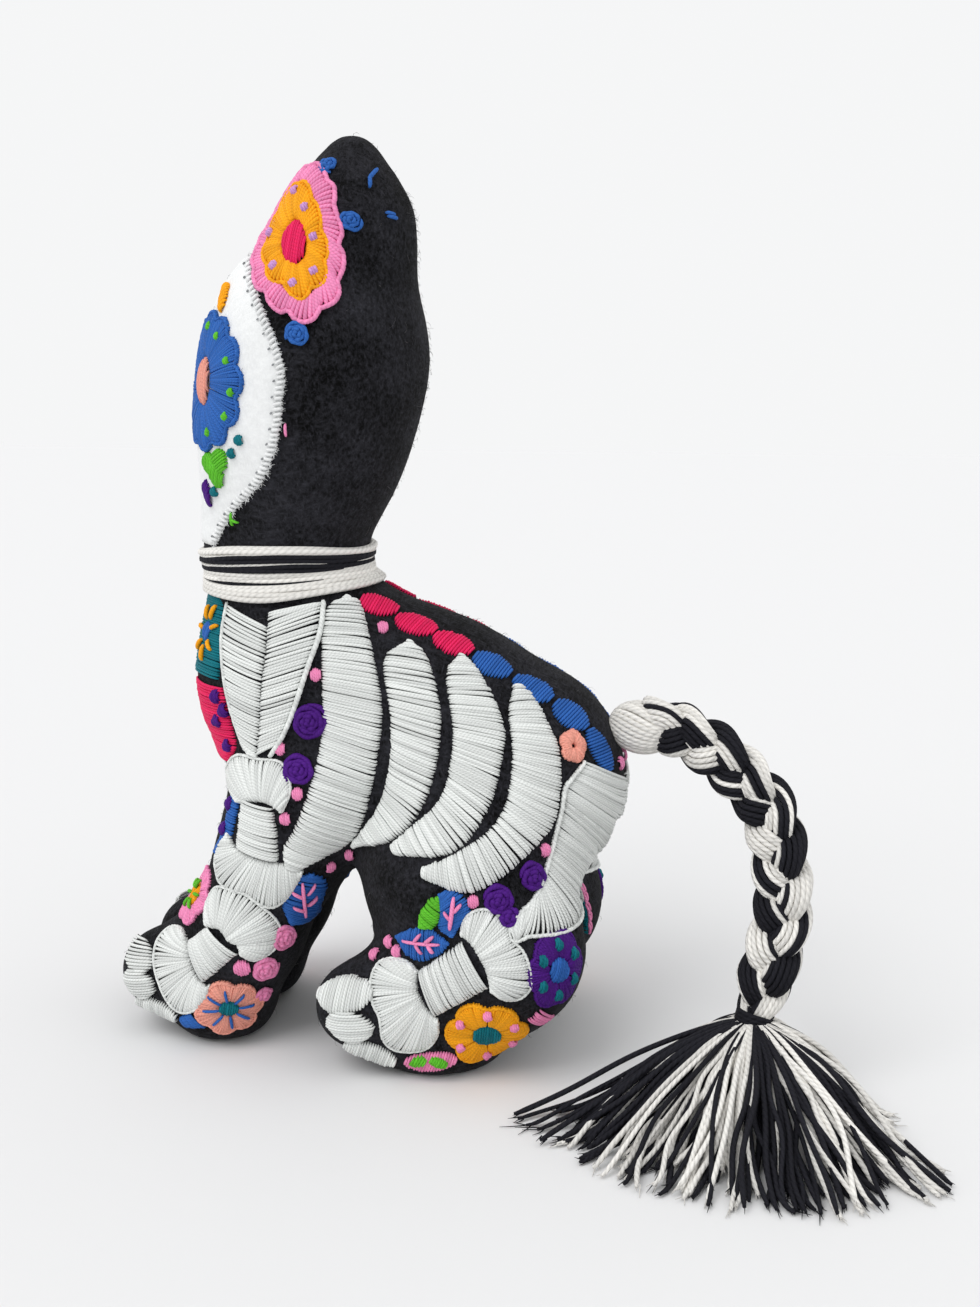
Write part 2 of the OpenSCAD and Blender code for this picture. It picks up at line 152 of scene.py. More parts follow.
def body_field(p):
    """Distance to the torso and its four legs, cut off softly at the ground."""
    left = p * (1, 0, 1) - np.abs(p) * (0, 1, 0)
    d = form(p, TORSO, RUN, TORSO_FLAT, TORSO_SOFT)
    d = soft_min(d, form(left, FRONT_LEG, LEG, FRONT_FLAT, FRONT_SOFT), LEG_SOFT)
    d = soft_min(d, form(left, HIND_LEG, LEG, HIND_FLAT, HIND_SOFT), LEG_SOFT)
    return -soft_min(-d, p[..., 2], SOLE_SOFT)


def animal_field(p):
    """Distance to the whole animal, with the head softly joined to the torso.

    The neck is drawn in by a bell about the collar's height, and the face by a bell about its middle that
    grows towards the front.
    """
    drawn = NECK_PINCH * np.exp(-(((p[..., 2] - COLLAR_Z) / NECK_REACH) ** 2))
    forward = np.clip((FACE_X - p[..., 0]) / FACE_RUN, 0, 1)
    face = FACE_INSET * forward * np.exp(-(((p[..., 2] - FACE_Z) / FACE_REACH) ** 4))
    return soft_min(body_field(p), head_field(p), NECK_SOFT) + drawn + face


def slope(field, p, step=0.05):
    """Unit normals of a field: its central differences along the three axes, normalised."""
    moves = np.eye(3) * step
    g = np.stack([field(p + m) - field(p - m) for m in moves], -1)
    return unit(g)


def settle(field, p, rounds=5):
    """Moves points along the field's slope until they lie on its surface."""
    for _ in range(rounds):
        p = p - slope(field, p) * field(p)[..., None]
    return p


def cast(field, p, way, rounds=28):
    """Walks points along a direction by nine tenths of their distance until they meet the surface."""
    for _ in range(rounds):
        p = p + way * (0.9 * np.maximum(field(p), 0))[..., None].clip(max=20)
    return settle(field, p, rounds=3)


# ---- Meshes ----


def put_mesh(name, points, faces, uv=None, tint=None):
    """A smooth mesh object from points in millimetres and arrays of faces, with the points put in place.

    faces is a list of arrays, one for each number of corners. uv has one pair for each corner of
    those arrays in turn, and tint one number for each point.
    """
    mesh = bpy.data.meshes.new(name)
    corners = np.concatenate([f.ravel() for f in faces]).astype(np.int32)
    sizes = np.concatenate([np.full(len(f), f.shape[1]) for f in faces]).astype(np.int32)
    starts = np.concatenate([[0], np.cumsum(sizes)[:-1]]).astype(np.int32)
    mesh.vertices.add(len(points))
    mesh.vertices.foreach_set("co", place(points).astype(np.float32).ravel())
    mesh.loops.add(len(corners))
    mesh.loops.foreach_set("vertex_index", corners)
    mesh.polygons.add(len(sizes))
    mesh.polygons.foreach_set("loop_start", starts)
    mesh.polygons.foreach_set("loop_total", sizes)
    mesh.polygons.foreach_set("use_smooth", np.full(len(sizes), True))
    if uv is not None:
        pairs = np.concatenate([u.reshape(-1, 2) for u in uv])
        mesh.uv_layers.new(name="UVMap").data.foreach_set("uv", pairs.astype(np.float32).ravel())
    if tint is not None:
        mesh.attributes.new("tint", "FLOAT", "POINT").data.foreach_set("value", tint.astype(np.float32))
    mesh.update(calc_edges=True)
    mesh.validate()
    return linked(name, mesh)


def linked(name, data):
    """An object for a mesh, a light or a camera, put in the scene."""
    obj = bpy.data.objects.new(name, data)
    bpy.context.scene.collection.objects.link(obj)
    return obj


def mesh_points(mesh):
    """The mesh's points in millimetres in the animal's frame."""
    co = np.empty(len(mesh.vertices) * 3, np.float32)
    mesh.vertices.foreach_get("co", co)
    return co.reshape(-1, 3).astype(float) / MM + (MID_X, 0, 0)


def set_points(mesh, points):
    """Puts points in millimetres into a mesh."""
    mesh.vertices.foreach_set("co", place(points).astype(np.float32).ravel())
    mesh.update()


def baked(obj):
    """The object's mesh with its modifiers applied and removed."""
    graph = bpy.context.evaluated_depsgraph_get()
    graph.update()
    mesh = bpy.data.meshes.new_from_object(obj.evaluated_get(graph), depsgraph=graph)
    obj.modifiers.clear()
    old, obj.data = obj.data, mesh
    bpy.data.meshes.remove(old)
    return obj


def capsule(a, b, flat, rings=9, sides=24):
    """Closed grid round two balls: half of each ball's rings, with straight sides between them."""
    tilt = np.concatenate([np.linspace(-90, 0, rings), np.linspace(0, 90, rings)]) * math.pi / 180
    turn = np.arange(sides) * 2 * math.pi / sides
    first = np.arange(2 * rings) < rings
    centre = np.where(first[:, None], np.array(a[:3], float), np.array(b[:3], float))
    radius = np.where(first, a[3], b[3])
    axis = (np.array(b[:3], float) - a[:3]) / np.linalg.norm(np.array(b[:3], float) - a[:3])
    u = np.cross(axis, (0.31, 0.95, 0.05))
    u /= np.linalg.norm(u)
    v = np.cross(axis, u)
    ring = np.cos(turn)[:, None] * u + np.sin(turn)[:, None] * v
    spread = np.sin(tilt)[:, None, None] * axis + np.cos(tilt)[:, None, None] * ring
    points = centre[:, None] + radius[:, None, None] * spread * (1, flat, 1)
    return grid_solid(points)


def grid_solid(points):
    """Points and faces of a tube through rings of points, with a flat face on each end."""
    rings, sides = points.shape[:2]
    i, j = np.meshgrid(np.arange(rings - 1), np.arange(sides), indexing="ij")
    k = (j + 1) % sides
    quads = np.stack([i * sides + j, i * sides + k, (i + 1) * sides + k, (i + 1) * sides + j], -1)
    ends = np.stack([np.arange(sides)[::-1], (rings - 1) * sides + np.arange(sides)])
    return points.reshape(-1, 3), quads.reshape(-1, 4), ends


def joined(solids):
    """Several solids as one: their points, their faces renumbered, and what else they carry, end to end."""
    starts = np.cumsum([0] + [len(solid[0]) for solid in solids])
    moved = [(p, q + n, e + n, *rest) for (p, q, e, *rest), n in zip(solids, starts)]
    return [np.concatenate(column) for column in zip(*moved)]


# ---- Materials ----


def new_material(name, colour, roughness, sheen=0.0, specular=0.3):
    """A material with a Principled shader set up, returned with that shader."""
    material = bpy.data.materials.new(name)
    material.use_nodes = True
    material.diffuse_color = (*colour[:3], 1)
    shader = material.node_tree.nodes["Principled BSDF"]
    shader.inputs["Base Color"].default_value = (*colour[:3], 1)
    shader.inputs["Roughness"].default_value = roughness
    shader.inputs["Sheen Weight"].default_value = sheen
    shader.inputs["Sheen Roughness"].default_value = 0.6
    shader.inputs["Specular IOR Level"].default_value = specular
    return material, shader


class Nodes:
    """Adds nodes to a material and joins them."""

    def __init__(self, material):
        self.tree = material.node_tree

    def add(self, kind, settings=None, **inputs):
        """A node of a kind, its settings, and each input as a value or another node's socket."""
        node = self.tree.nodes.new(kind)
        for key, value in (settings or {}).items():
            setattr(node, key, value)
        for key, value in inputs.items():
            socket = node.inputs[int(key[1:])] if key[0] == "i" and key[1:].isdigit() else node.inputs[key]
            if isinstance(value, bpy.types.NodeSocket):
                self.tree.links.new(value, socket)
            else:
                socket.default_value = value
        return node

    def math(self, operation, a, b=0.0, c=0.0):
        """The result of one sum."""
        return self.add("ShaderNodeMath", {"operation": operation}, i0=a, i1=b, i2=c).outputs[0]

    def place(self, stretch=(1, 1, 1), turn=(0, 0, 0)):
        """Object coordinates, stretched and turned."""
        spot = self.add("ShaderNodeTexCoord").outputs["Object"]
        return self.add("ShaderNodeMapping", Vector=spot, Scale=stretch, Rotation=turn).outputs[0]

    def noise(self, vector, scale, detail=3.0, roughness=0.5):
        """Soft noise about a half."""
        where = {"Vector": vector, "Scale": scale, "Detail": detail, "Roughness": roughness}
        return self.add("ShaderNodeTexNoise", **where).outputs[0]

    def ramp(self, value, low, high, start, end):
        """A colour that goes from low to high as the value goes from start to end."""
        node = self.add("ShaderNodeValToRGB", i0=value)
        node.color_ramp.elements[0].position = start
        node.color_ramp.elements[0].color = (*low, 1)
        node.color_ramp.elements[1].position = end
        node.color_ramp.elements[1].color = (*high, 1)
        return node.outputs[0]

    def mix(self, share, a, b):
        """Two colours mixed by a share."""
        return self.add("ShaderNodeMix", {"data_type": "RGBA"}, i0=share, i6=a, i7=b).outputs[2]

    def bump(self, height, strength, distance):
        """A bump whose height is in metres once multiplied by the distance."""
        return self.add("ShaderNodeBump", Height=height, Strength=strength, Distance=distance).outputs[0]


def shade(colour, factor):
    """A colour made darker or lighter."""
    return tuple(min(1.0, c * factor) for c in colour[:3])


def felt_material(name, colour, dark=0.03, light=1.9, depth=0.0006):
    """Matted wool: cloudy colour, fine crossed fibres and a soft sheen."""
    material, shader = new_material(name, colour, 0.95, sheen=0.03, specular=0.08)
    n = Nodes(material)
    clouds = n.noise(n.place(), 55, 4)
    one = n.noise(n.place((240, 1300, 600), (0.5, 0.2, 0.9)), 1.0, 5, 0.7)
    two = n.noise(n.place((1300, 280, 700), (0.1, 0.7, 2.1)), 1.0, 5, 0.7)
    fibres = n.math("MAXIMUM", one, two)
    height = n.math("MULTIPLY_ADD", clouds, 0.35, fibres)
    tone = n.ramp(height, shade(colour, dark), shade(colour, light), 0.6, 1.12)
    n.tree.links.new(tone, shader.inputs["Base Color"])
    n.tree.links.new(n.bump(height, 0.9, depth), shader.inputs["Normal"])
    return material


def thread_material(name, colour, ply=1.1, roughness=0.6, depth=0.00012, fibre=0.25):
    """Plied thread: slanting plies from the UV map, fine fibres along it, a tint of its own, and painted
    shade that darkens the grooves between the plies.
    """
    material, shader = new_material(name, colour, roughness, sheen=0.0, specular=0.12)
    n = Nodes(material)
    uv = n.add("ShaderNodeSeparateXYZ", Vector=n.add("ShaderNodeUVMap", {"uv_map": "UVMap"}).outputs[0])
    along, round_it = uv.outputs[0], uv.outputs[1]
    turns = n.math("MULTIPLY_ADD", along, 1.0 / ply, n.math("MULTIPLY", round_it, 2.0))
    plies = n.math("ABSOLUTE", n.math("SINE", n.math("MULTIPLY", turns, math.pi)))
    lint = n.noise(n.place(), 2600, 2)
    height = n.math("MULTIPLY_ADD", lint, fibre, plies)
    tint = n.add("ShaderNodeAttribute", {"attribute_name": "tint"}).outputs["Fac"]
    tone = n.mix(tint, (*shade(colour, 0.84), 1), (*shade(colour, 1.1), 1))
    # Painted shade: the grooves between the plies are mixed towards half the colour's brightness
    tone = n.mix(n.math("MULTIPLY", n.math("SUBTRACT", 1.0, plies), 0.3), tone, (*shade(colour, 0.5), 1))
    n.tree.links.new(tone, shader.inputs["Base Color"])
    n.tree.links.new(n.bump(height, 0.8, depth), shader.inputs["Normal"])
    return material


# ---- Laying thread on the felt ----


def curve(points, count):
    """Smooth curve through points: Catmull-Rom cubics between them, then evenly spaced along it."""
    p = np.asarray(points, float)
    p = np.concatenate([2 * p[:1] - p[1:2], p, 2 * p[-1:] - p[-2:-1]])
    t = np.linspace(0, 1, 24, endpoint=False)[:, None, None]
    a, b, c, d = p[:-3], p[1:-2], p[2:-1], p[3:]
    q = 0.5 * (2 * b + (c - a) * t + (2 * a - 5 * b + 4 * c - d) * t**2 + (3 * b - a - 3 * c + d) * t**3)
    q = np.concatenate([q.transpose(1, 0, 2).reshape(-1, p.shape[1]), p[-2:-1]])
    run = run_along(q)
    at = np.linspace(0, run[-1], count)
    return np.stack([np.interp(at, run, q[:, k]) for k in range(q.shape[1])], -1)


def run_along(points):
    """Distance from the first point to each, along the points."""
    return np.concatenate([[0], np.cumsum(np.linalg.norm(np.diff(points, axis=0), axis=1))])


def length_of(points):
    """Length of a run of points."""
    return np.linalg.norm(np.diff(points, axis=0), axis=1).sum()


class Hoop:
    """A stretch of felt seen flat: a middle, two axes, and the way that points drop on to the felt."""

    def __init__(self, field, middle, across, up, way):
        self.field = field
        self.middle, self.across, self.up, self.way = (np.array(v, float) for v in (middle, across, up, way))

    def drop(self, flat):
        """Points of the felt under flat points, and the felt's normals there."""
        flat = np.asarray(flat, float)
        start = self.middle + flat[..., :1] * self.across + flat[..., 1:2] * self.up
        seat = cast(self.field, start, self.way)
        return seat, slope(self.field, seat)


def flank(field):
    """The left side seen from straight beside it, so that flat points are x and z."""
    return Hoop(field, (0, -90, 0), (1, 0, 0), (0, 0, 1), (0, 1, 0))


def hoop_at(field, x, z, out=18):
    """A hoop square to the felt where the left side has this x and z, held a little way off it."""
    seat, normal = flank(field).drop(np.array([[x, z]]))
    n = normal[0]
    across = unit(np.cross(n, (0, 0, 1)))
    across *= 1 if across[0] > 0 else -1
    up = np.cross(across, n)
    up *= 1 if up[2] > 0 else -1
    return Hoop(field, seat[0] + n * out, across, up, -n)


rng = np.random.default_rng(7)
# How far a stitch strays, in shares of the pitch and in millimetres
STRAY = 0.12
# A stitch whose steps are longer than this and this share of its length would leap between two limbs
LEAP, LEAP_SHARE = 2.5, 0.75
# Threads stay this far off the ground
CLEAR = 0.05


def lay(hoop, a, b, pad, radius, low=-0.25, steps=9, sag=0.0):
    """Stitches from flat points a to flat points b, as paths, normals and radii.

    A path is the straight line between its ends dropped on to the felt and lifted by
    low + pad * (half sine) ** 0.6, so that it goes down into the felt at both ends.
    """
    a, b = np.atleast_2d(a).astype(float), np.atleast_2d(b).astype(float)
    t = (0.5 - 0.5 * np.cos(np.linspace(0, math.pi, steps)))[None, :, None]
    side = np.stack([-(b - a)[:, 1], (b - a)[:, 0]], -1)[:, None]
    flat = a[:, None] * (1 - t) + b[:, None] * t + side * sag * np.sin(t * math.pi)
    seat, normal = hoop.drop(flat)
    rise = np.sin(np.linspace(0, math.pi, steps)).clip(0) ** 0.6
    pad = np.broadcast_to(np.asarray(pad, float).reshape(-1, 1), (len(a), 1))
    lift = low + pad * rise * (1 + rng.normal(0, 0.05, (len(a), 1)))
    path = seat + normal * lift[..., None]
    taper = np.interp(t[0, :, 0], [0, 0.12, 0.88, 1], [0.6, 1, 1, 0.6])
    width = radius * taper * (1 + rng.normal(0, 0.05, (len(a), 1)))
    leap = np.linalg.norm(np.diff(path, axis=1), axis=-1).max(1)
    kept = leap < LEAP + LEAP_SHARE * np.linalg.norm(b - a, axis=1)
    return path[kept], normal[kept], width[kept]


def trail(hoop, flat, lift, radius):
    """One long thread along flat points, lifted off the felt."""
    seat, normal = hoop.drop(np.asarray(flat, float))
    path = seat + normal * np.broadcast_to(lift, len(seat))[:, None]
    taper = np.interp(np.linspace(0, 1, len(seat)), [0, 0.04, 0.96, 1], [0.5, 1, 1, 0.5])
    return path[None], normal[None], (radius * taper)[None]


def between(hoop, left, right, pitch, pad, radius, lag=0.0):
    """Stitches side by side from one edge curve to another, the far ends shifted along by lag."""
    count = max(3, int(max(length_of(curve(left, 60)), length_of(curve(right, 60))) / pitch))
    a, b = curve(left, 400), curve(right, 400)
    s = (np.arange(count) + 0.5 + rng.normal(0, STRAY, count)) / count
    pick = lambda line, share: line[(np.clip(share, 0, 1) * (len(line) - 1)).astype(int)]
    ends = rng.normal(0, STRAY, (2, count, 2))
    return lay(hoop, pick(a, s) + ends[0], pick(b, s + lag) + ends[1], pad, radius)


def edging(hoop, rim, pitch, radius, lift=0.7, closed=False):
    """The looped edge of a blanket stitch: short threads along a rim, each overlapping the next."""
    line = curve(list(rim) + ([rim[0]] if closed else []), 300)
    count = max(3, int(length_of(line) / pitch))
    spots = line[np.linspace(0, len(line) - 1, count + 1).astype(int)]
    a, b = spots[:-1], spots[1:]
    reach = (b - a) * 0.3
    return lay(hoop, a - reach, b + reach, lift, radius, low=0.1, steps=6, sag=0.12)


def fan(hoop, base, rim, pitch, pad, radius):
    """A blanket-stitched fan: stitches from a short base to a longer rim, with a looped edge."""
    return [between(hoop, base, rim, pitch, pad, radius), edging(hoop, rim, pitch * 1.6, radius * 0.95)]


def oval(hoop, x, z, a, b, turn=0.0, slant=90.0, pitch=0.8, pad=1.4, radius=0.42, steps=9):
    """Satin stitch over an oval: parallel chords at a slant, each as long as the oval there.

    With d across the chords and h along them, the oval reaches h = +-H sqrt(1 - (d / D) ** 2).
    """
    lean, spin = math.radians(slant), math.radians(turn)
    along = np.array([math.cos(lean), math.sin(lean)])
    over = np.array([along[1], -along[0]])
    # Half lengths of the oval across the chords and where each chord's middle lies
    m = np.array([[math.cos(spin), -math.sin(spin)], [math.sin(spin), math.cos(spin)]])
    shape = m @ np.diag([a * a, b * b]) @ m.T
    depth = math.sqrt(over @ shape @ over)
    count = max(3, int(round(2 * depth / pitch)))
    d = (np.arange(count) + 0.5) / count * 2 - 1
    slide = (along @ shape @ over) / (over @ shape @ over)
    half = math.sqrt(max(1e-9, along @ shape @ along - slide * (over @ shape @ along))) * np.sqrt(1 - d * d)
    half = half * (1 + rng.normal(0, 0.04, count)) + 0.15
    middle = np.array([x, z]) + (d * depth)[:, None] * (over + slide * along)
    half = half[:, None] * along
    return lay(hoop, middle - half, middle + half, pad, radius, steps=steps)


def lobed(a, b, lobes, dip, count):
    """Points round a scalloped oval: the radius swells and dips with the cosine of each lobe."""
    turn = np.linspace(0, 2 * math.pi, count, endpoint=False)
    swell = 1 - dip + dip * np.abs(np.cos(lobes * turn / 2)) ** 0.7
    return turn, np.stack([a * swell * np.cos(turn), b * swell * np.sin(turn)], -1)


def bloom(hoop, x, z, inner, outer, lobes, dip, pitch, pad, radius):
    """A flower in blanket stitch: spokes from an oval to a scalloped rim, closer at each petal's root."""
    count = int(math.pi * (outer[0] + outer[1]) / pitch)
    turn, rim = lobed(*outer, lobes, dip, count)
    petal = np.round(lobes * turn / 2 / math.pi) * math.pi * 2 / lobes
    root = petal + (turn - petal) * 0.72
    base = np.stack([inner[0] * np.cos(root), inner[1] * np.sin(root)], -1)
    middle = np.array([x, z])
    spokes = lay(hoop, middle + base, middle + rim + rng.normal(0, 0.1, rim.shape), pad, radius)
    return [spokes, edging(hoop, middle + rim * 0.985, 1.5, radius * 1.05, closed=True)]


def rose(hoop, x, z, size, radius):
    """A wound rose: a knotted spiral, higher in the middle, whose radius grows evenly with its angle."""
    turns = (size - radius) / (1.5 * radius)
    count = int(34 * turns)
    turn = np.linspace(0, turns * 2 * math.pi, count) + 0.4
    r = np.linspace(0.15, size - radius, count) * (1 + 0.06 * np.sin(turn * 2.5))
    flat_points = np.stack([x + r * np.cos(turn), z + r * np.sin(turn)], -1)
    lift = radius * 0.6 + (1.0 - r / size) * 1.3 + 0.3 * np.sin(turn * 3.4)
    beads = 1.05 + 0.16 * np.sin(turn * 6.8)
    path, normal, width = trail(hoop, flat_points, lift, radius)
    return path, normal, width * beads


def dots(hoop, spots, a=1.5, b=1.8, pad=1.25, radius=0.45):
    """Small raised dots, each a few satin stitches over an oval, and each turned 8 degrees from the last."""
    return [oval(hoop, x, z, a, b, slant=95 + 8 * i, pitch=0.62, pad=pad, radius=radius, steps=7)
            for i, (x, z) in enumerate(spots)]


def strokes(hoop, pairs, radius, pad=0.8, low=0.5):
    """Single straight stitches, given as pairs of flat points."""
    p = np.array(pairs, float)
    return [lay(hoop, p[:, 0], p[:, 1], pad, radius, low=low, steps=8)]


def around(middle, reach, count, first, turn=2 * math.pi):
    """Evenly turned points of an oval about a middle, from a first angle."""
    t = np.linspace(first, first + turn, count + 1)[:-1]
    return np.array(middle) + np.stack([reach[0] * np.cos(t), reach[1] * np.sin(t)], -1)


def rays(hoop, middle, inner, outer, count, first, *how, turn=2 * math.pi):
    """Single stitches that run out from a middle, from points of an inner oval to those of an outer one."""
    ends = [around(middle, reach, count, first, turn) for reach in (inner, outer)]
    return strokes(hoop, np.stack(ends, 1), *how)


def tubes(laid, sides=6):
    """Closed tubes along laid paths: a ring round each point, square to the path, with a face on each end.

    Returns points, faces, one pair of map numbers for each corner (millimetres along, share of a
    turn round), and a tint for each point that is the same all along a thread.
    """
    path, normal, radius = laid
    n, k = path.shape[:2]
    along = unit(np.gradient(path, axis=1))
    beside = unit(np.cross(along, normal))
    above = np.cross(beside, along)
    turn = np.arange(sides) * 2 * math.pi / sides
    ring = np.cos(turn)[:, None] * beside[:, :, None] - np.sin(turn)[:, None] * above[:, :, None]
    points = path[:, :, None] + np.broadcast_to(radius, (n, k))[..., None, None] * ring
    points[..., 2] = np.maximum(points[..., 2], CLEAR)
    i, j = np.meshgrid(np.arange(k - 1), np.arange(sides), indexing="ij")
    j2 = (j + 1) % sides
    quad = np.stack([i * sides + j, i * sides + j2, (i + 1) * sides + j2, (i + 1) * sides + j], -1)
    base = (np.arange(n) * k * sides)[:, None, None]
    quads = (quad.reshape(1, -1, 4) + base).reshape(-1, 4)
    caps = np.stack([np.arange(sides)[::-1], (k - 1) * sides + np.arange(sides)])
    ends = (caps[None] + base).reshape(-1, sides)
    run = np.concatenate([np.zeros((n, 1)), np.cumsum(np.linalg.norm(np.diff(path, axis=1), axis=-1), 1)], 1)
    run += rng.random((n, 1)) * 5
    corner_i = np.stack([i, i, i + 1, i + 1], -1).reshape(-1, 4)
    corner_j = np.stack([j, j + 1, j + 1, j], -1).reshape(-1, 4) / sides
    uv = np.stack([run[:, corner_i], np.broadcast_to(corner_j, (n, *corner_j.shape))], -1)
    cap_uv = np.zeros((len(ends), sides, 2))
    tint = np.repeat(rng.random(n), k * sides)
    return points.reshape(-1, 3), quads, ends, uv.reshape(-1, 4, 2), cap_uv, tint


def thread_piece(name, parts, slot, body="animal", nodes=(), finish=None, sides=6, mirror=False):
    """One piece of many threads, riding on a body and standing for CAD nodes.

    A mirrored piece has its points flipped across the middle plane and its faces turned round.
    """
    p, q, e, uv, cap, tint = joined([tubes(laid, sides) for laid in parts])
    if mirror:
        p, q, e, uv, cap = p * (1, -1, 1), q[:, ::-1], e[:, ::-1], uv[:, ::-1], cap[:, ::-1]
    return dress(put_mesh(name, p, [q, e], [uv, cap], tint), slot, body, nodes, finish)


def dress(obj, slot, body="animal", nodes=(), finish=None):
    """Gives a piece a material, the slot's finish unless another is given, puts it on its body, and hides the
    CAD nodes that it stands for.
    """
    obj.data.materials.clear()
    obj.data.materials.append(finish or finish_for(slot))
    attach(obj, body)
    if nodes:
        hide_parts(*nodes)
    return obj


def short_of_middle(laid, gap=1.6):
    """Laid threads of the left side, which dive into the felt where they would come nearer than a gap to
    the middle plane.
    """
    path, normal, radius = laid
    past = np.maximum(path[..., 1:2] + gap, 0)
    path = path - normal * np.minimum(past, 2.5)
    path[..., 1] = np.minimum(path[..., 1], -gap)
    return path, normal, radius


def both_sides(name, parts, slot, nodes=(), finish=None):
    """The same threads on the left flank and, mirrored, on the right one. nodes are named without a side."""
    parts = [short_of_middle(laid) for laid in parts]
    for side in ("left", "right"):
        stands_for = [f"{node}_{side}" for node in nodes]
        piece = f"{name}_{side}_thread"
        thread_piece(piece, parts, slot, "animal", stands_for, finish, mirror=side == "right")


# ---- Felt skins ----

# Where the head's side panel meets its back panel: x and z on the left side
HEAD_SEAM = (
    (5, 272), (6, 261), (9, 251), (8, 240), (1, 227), (-1, 213), (-4, 205), (-9, 184), (-14, 163), (-16, 150),
)
# Depth and width of the groove over the middle seam and over the head's side seams
MIDDLE_SEAM = 0.6, 0.9
SIDE_SEAM = 0.75, 1.0
# The face panel covers the middle seam in front of this x
FACE_COVER = -12
# Pressure and frames of the cloth
SWELL_PRESSURE, SWELL_FRAMES = 4, 20


def skin_field(above):
    """Distance to the skin above the collar, or below it, with a softly rounded cut."""

    def field(p):
        cut = (COLLAR_Z - p[..., 2]) * (1 if above else -1)
        return -soft_min(-animal_field(p), -cut, 4)

    return field


def seam_depth(points, above):
    """How far the seams draw the felt in: a narrow bell across the middle seam and the head's side seams."""
    deep, wide = MIDDLE_SEAM
    depth = deep * np.exp(-((points[:, 1] / wide) ** 2))
    if above:
        deep, wide = SIDE_SEAM
        seam, _ = flank(animal_field).drop(curve(HEAD_SEAM, 160))
        near = points * (1, 0, 1) - np.abs(points) * (0, 1, 0)
        gap = np.sqrt(((near[:, None] - seam[None]) ** 2).sum(-1)).min(1)
        depth = np.where(points[:, 0] > FACE_COVER, 0, depth) + deep * np.exp(-((gap / wide) ** 2))
    return depth


def swell(obj, rest, normals, held, low, high):
    """Blows the piece up as cloth held at its seams, and keeps each point within low and high of its rest."""
    group = obj.vertex_groups.new(name="seams")
    for share in (0.25, 0.5, 1.0):
        picked = np.flatnonzero((held > share - 0.25) & (held <= share))
        group.add(picked.tolist(), share, "REPLACE")
    cloth = obj.modifiers.new("Cloth", "CLOTH")
    cloth.settings.use_pressure = True
    cloth.settings.uniform_pressure_force = SWELL_PRESSURE
    cloth.settings.effector_weights.gravity = 0
    cloth.settings.vertex_group_mass = group.name
    cloth.point_cache.frame_start, cloth.point_cache.frame_end = 1, SWELL_FRAMES
    for step in range(1, SWELL_FRAMES + 1):
        bpy.context.scene.frame_set(step)
    baked(obj)
    bpy.context.scene.frame_set(1)
    moved = ((mesh_points(obj.data) - rest) * normals).sum(-1)
    moved -= np.median(moved)
    set_points(obj.data, rest + normals * np.clip(moved, low, high)[:, None])


def skin(name, above, voxel, cap):
    """A stuffed felt skin: balls joined by a voxel remesh, settled on the form and swollen as cloth."""
    field = skin_field(above)
    if above:
        parts = [capsule(HEAD[i], HEAD[i + 1], HEAD_FLAT) for i in range(len(HEAD) - 1)]
    else:
        parts = [capsule(TORSO[i], TORSO[j], TORSO_FLAT) for i, j in RUN]
        legs = [capsule(balls[i], balls[j], flat)
                for balls, flat in ((FRONT_LEG, FRONT_FLAT), (HIND_LEG, HIND_FLAT)) for i, j in LEG]
        parts += legs + [(p * (1, -1, 1), q[:, ::-1], e[:, ::-1]) for p, q, e in legs]
    points, *faces = joined(parts)
    obj = put_mesh(name, points, faces)
    remesh = obj.modifiers.new("Remesh", "REMESH")
    remesh.mode, remesh.voxel_size, remesh.use_smooth_shade = "VOXEL", voxel * MM, True
    baked(obj)
    rest = settle(field, mesh_points(obj.data))
    normals = slope(field, rest)
    depth = seam_depth(rest, above)
    rest -= normals * depth[:, None]
    set_points(obj.data, rest)
    held = np.clip(np.maximum(depth / MIDDLE_SEAM[0], np.abs(rest[:, 2] - COLLAR_Z) < 2), 0, 1)
    swell(obj, rest, normals, held, -cap, 0.6 * cap)
    smooth = obj.modifiers.new("Subdivision", "SUBSURF")
    smooth.levels = smooth.render_levels = 1
    return obj


def hairs(points, normals, count, length, radius, comb, lie=0.8):
    """Short fibres that stand out of the felt: arcs that lean along a common way and curl back down.

    Each hair is start + normal * sin(bend) + way * (1 - cos(bend)), times its length, with the bend growing
    evenly along it.
    """
    pick = rng.integers(0, len(points), count)
    start, n = points[pick], normals[pick]
    way = rng.normal(0, 1, (count, 3)) + np.array(comb)
    way = unit(way - (way * n).sum(-1, keepdims=True) * n)
    bend = np.linspace(0, 1, 4)[None] * rng.uniform(0.8, 2.2, (count, 1))
    size = length * rng.uniform(0.5, 1.3, (count, 1))
    rise, run = size * np.sin(bend) * (1 - lie * rng.random((count, 1))), size * (1 - np.cos(bend))
    path = start[:, None] - 0.3 * n[:, None] + rise[..., None] * n[:, None] + run[..., None] * way[:, None]
    side = np.cross(n, way)
    normal = np.broadcast_to(side[:, None], path.shape)
    width = radius * np.array([1, 0.9, 0.7, 0.35])[None] * rng.uniform(0.7, 1.3, (count, 1))
    return path, normal, width


def felt_spots(field, count, low, high):
    """Spots spread over a form: random spots in its box, settled on its surface."""
    p = settle(field, rng.uniform(low, high, (count, 3)), rounds=9)
    good = np.abs(field(p)) < 0.2
    return p[good], slope(field, p[good])


# ---- Yarn ----

LOOP = np.array(frame["joints"][0]["pos_m"]) / MM + (MID_X, 0, 0)
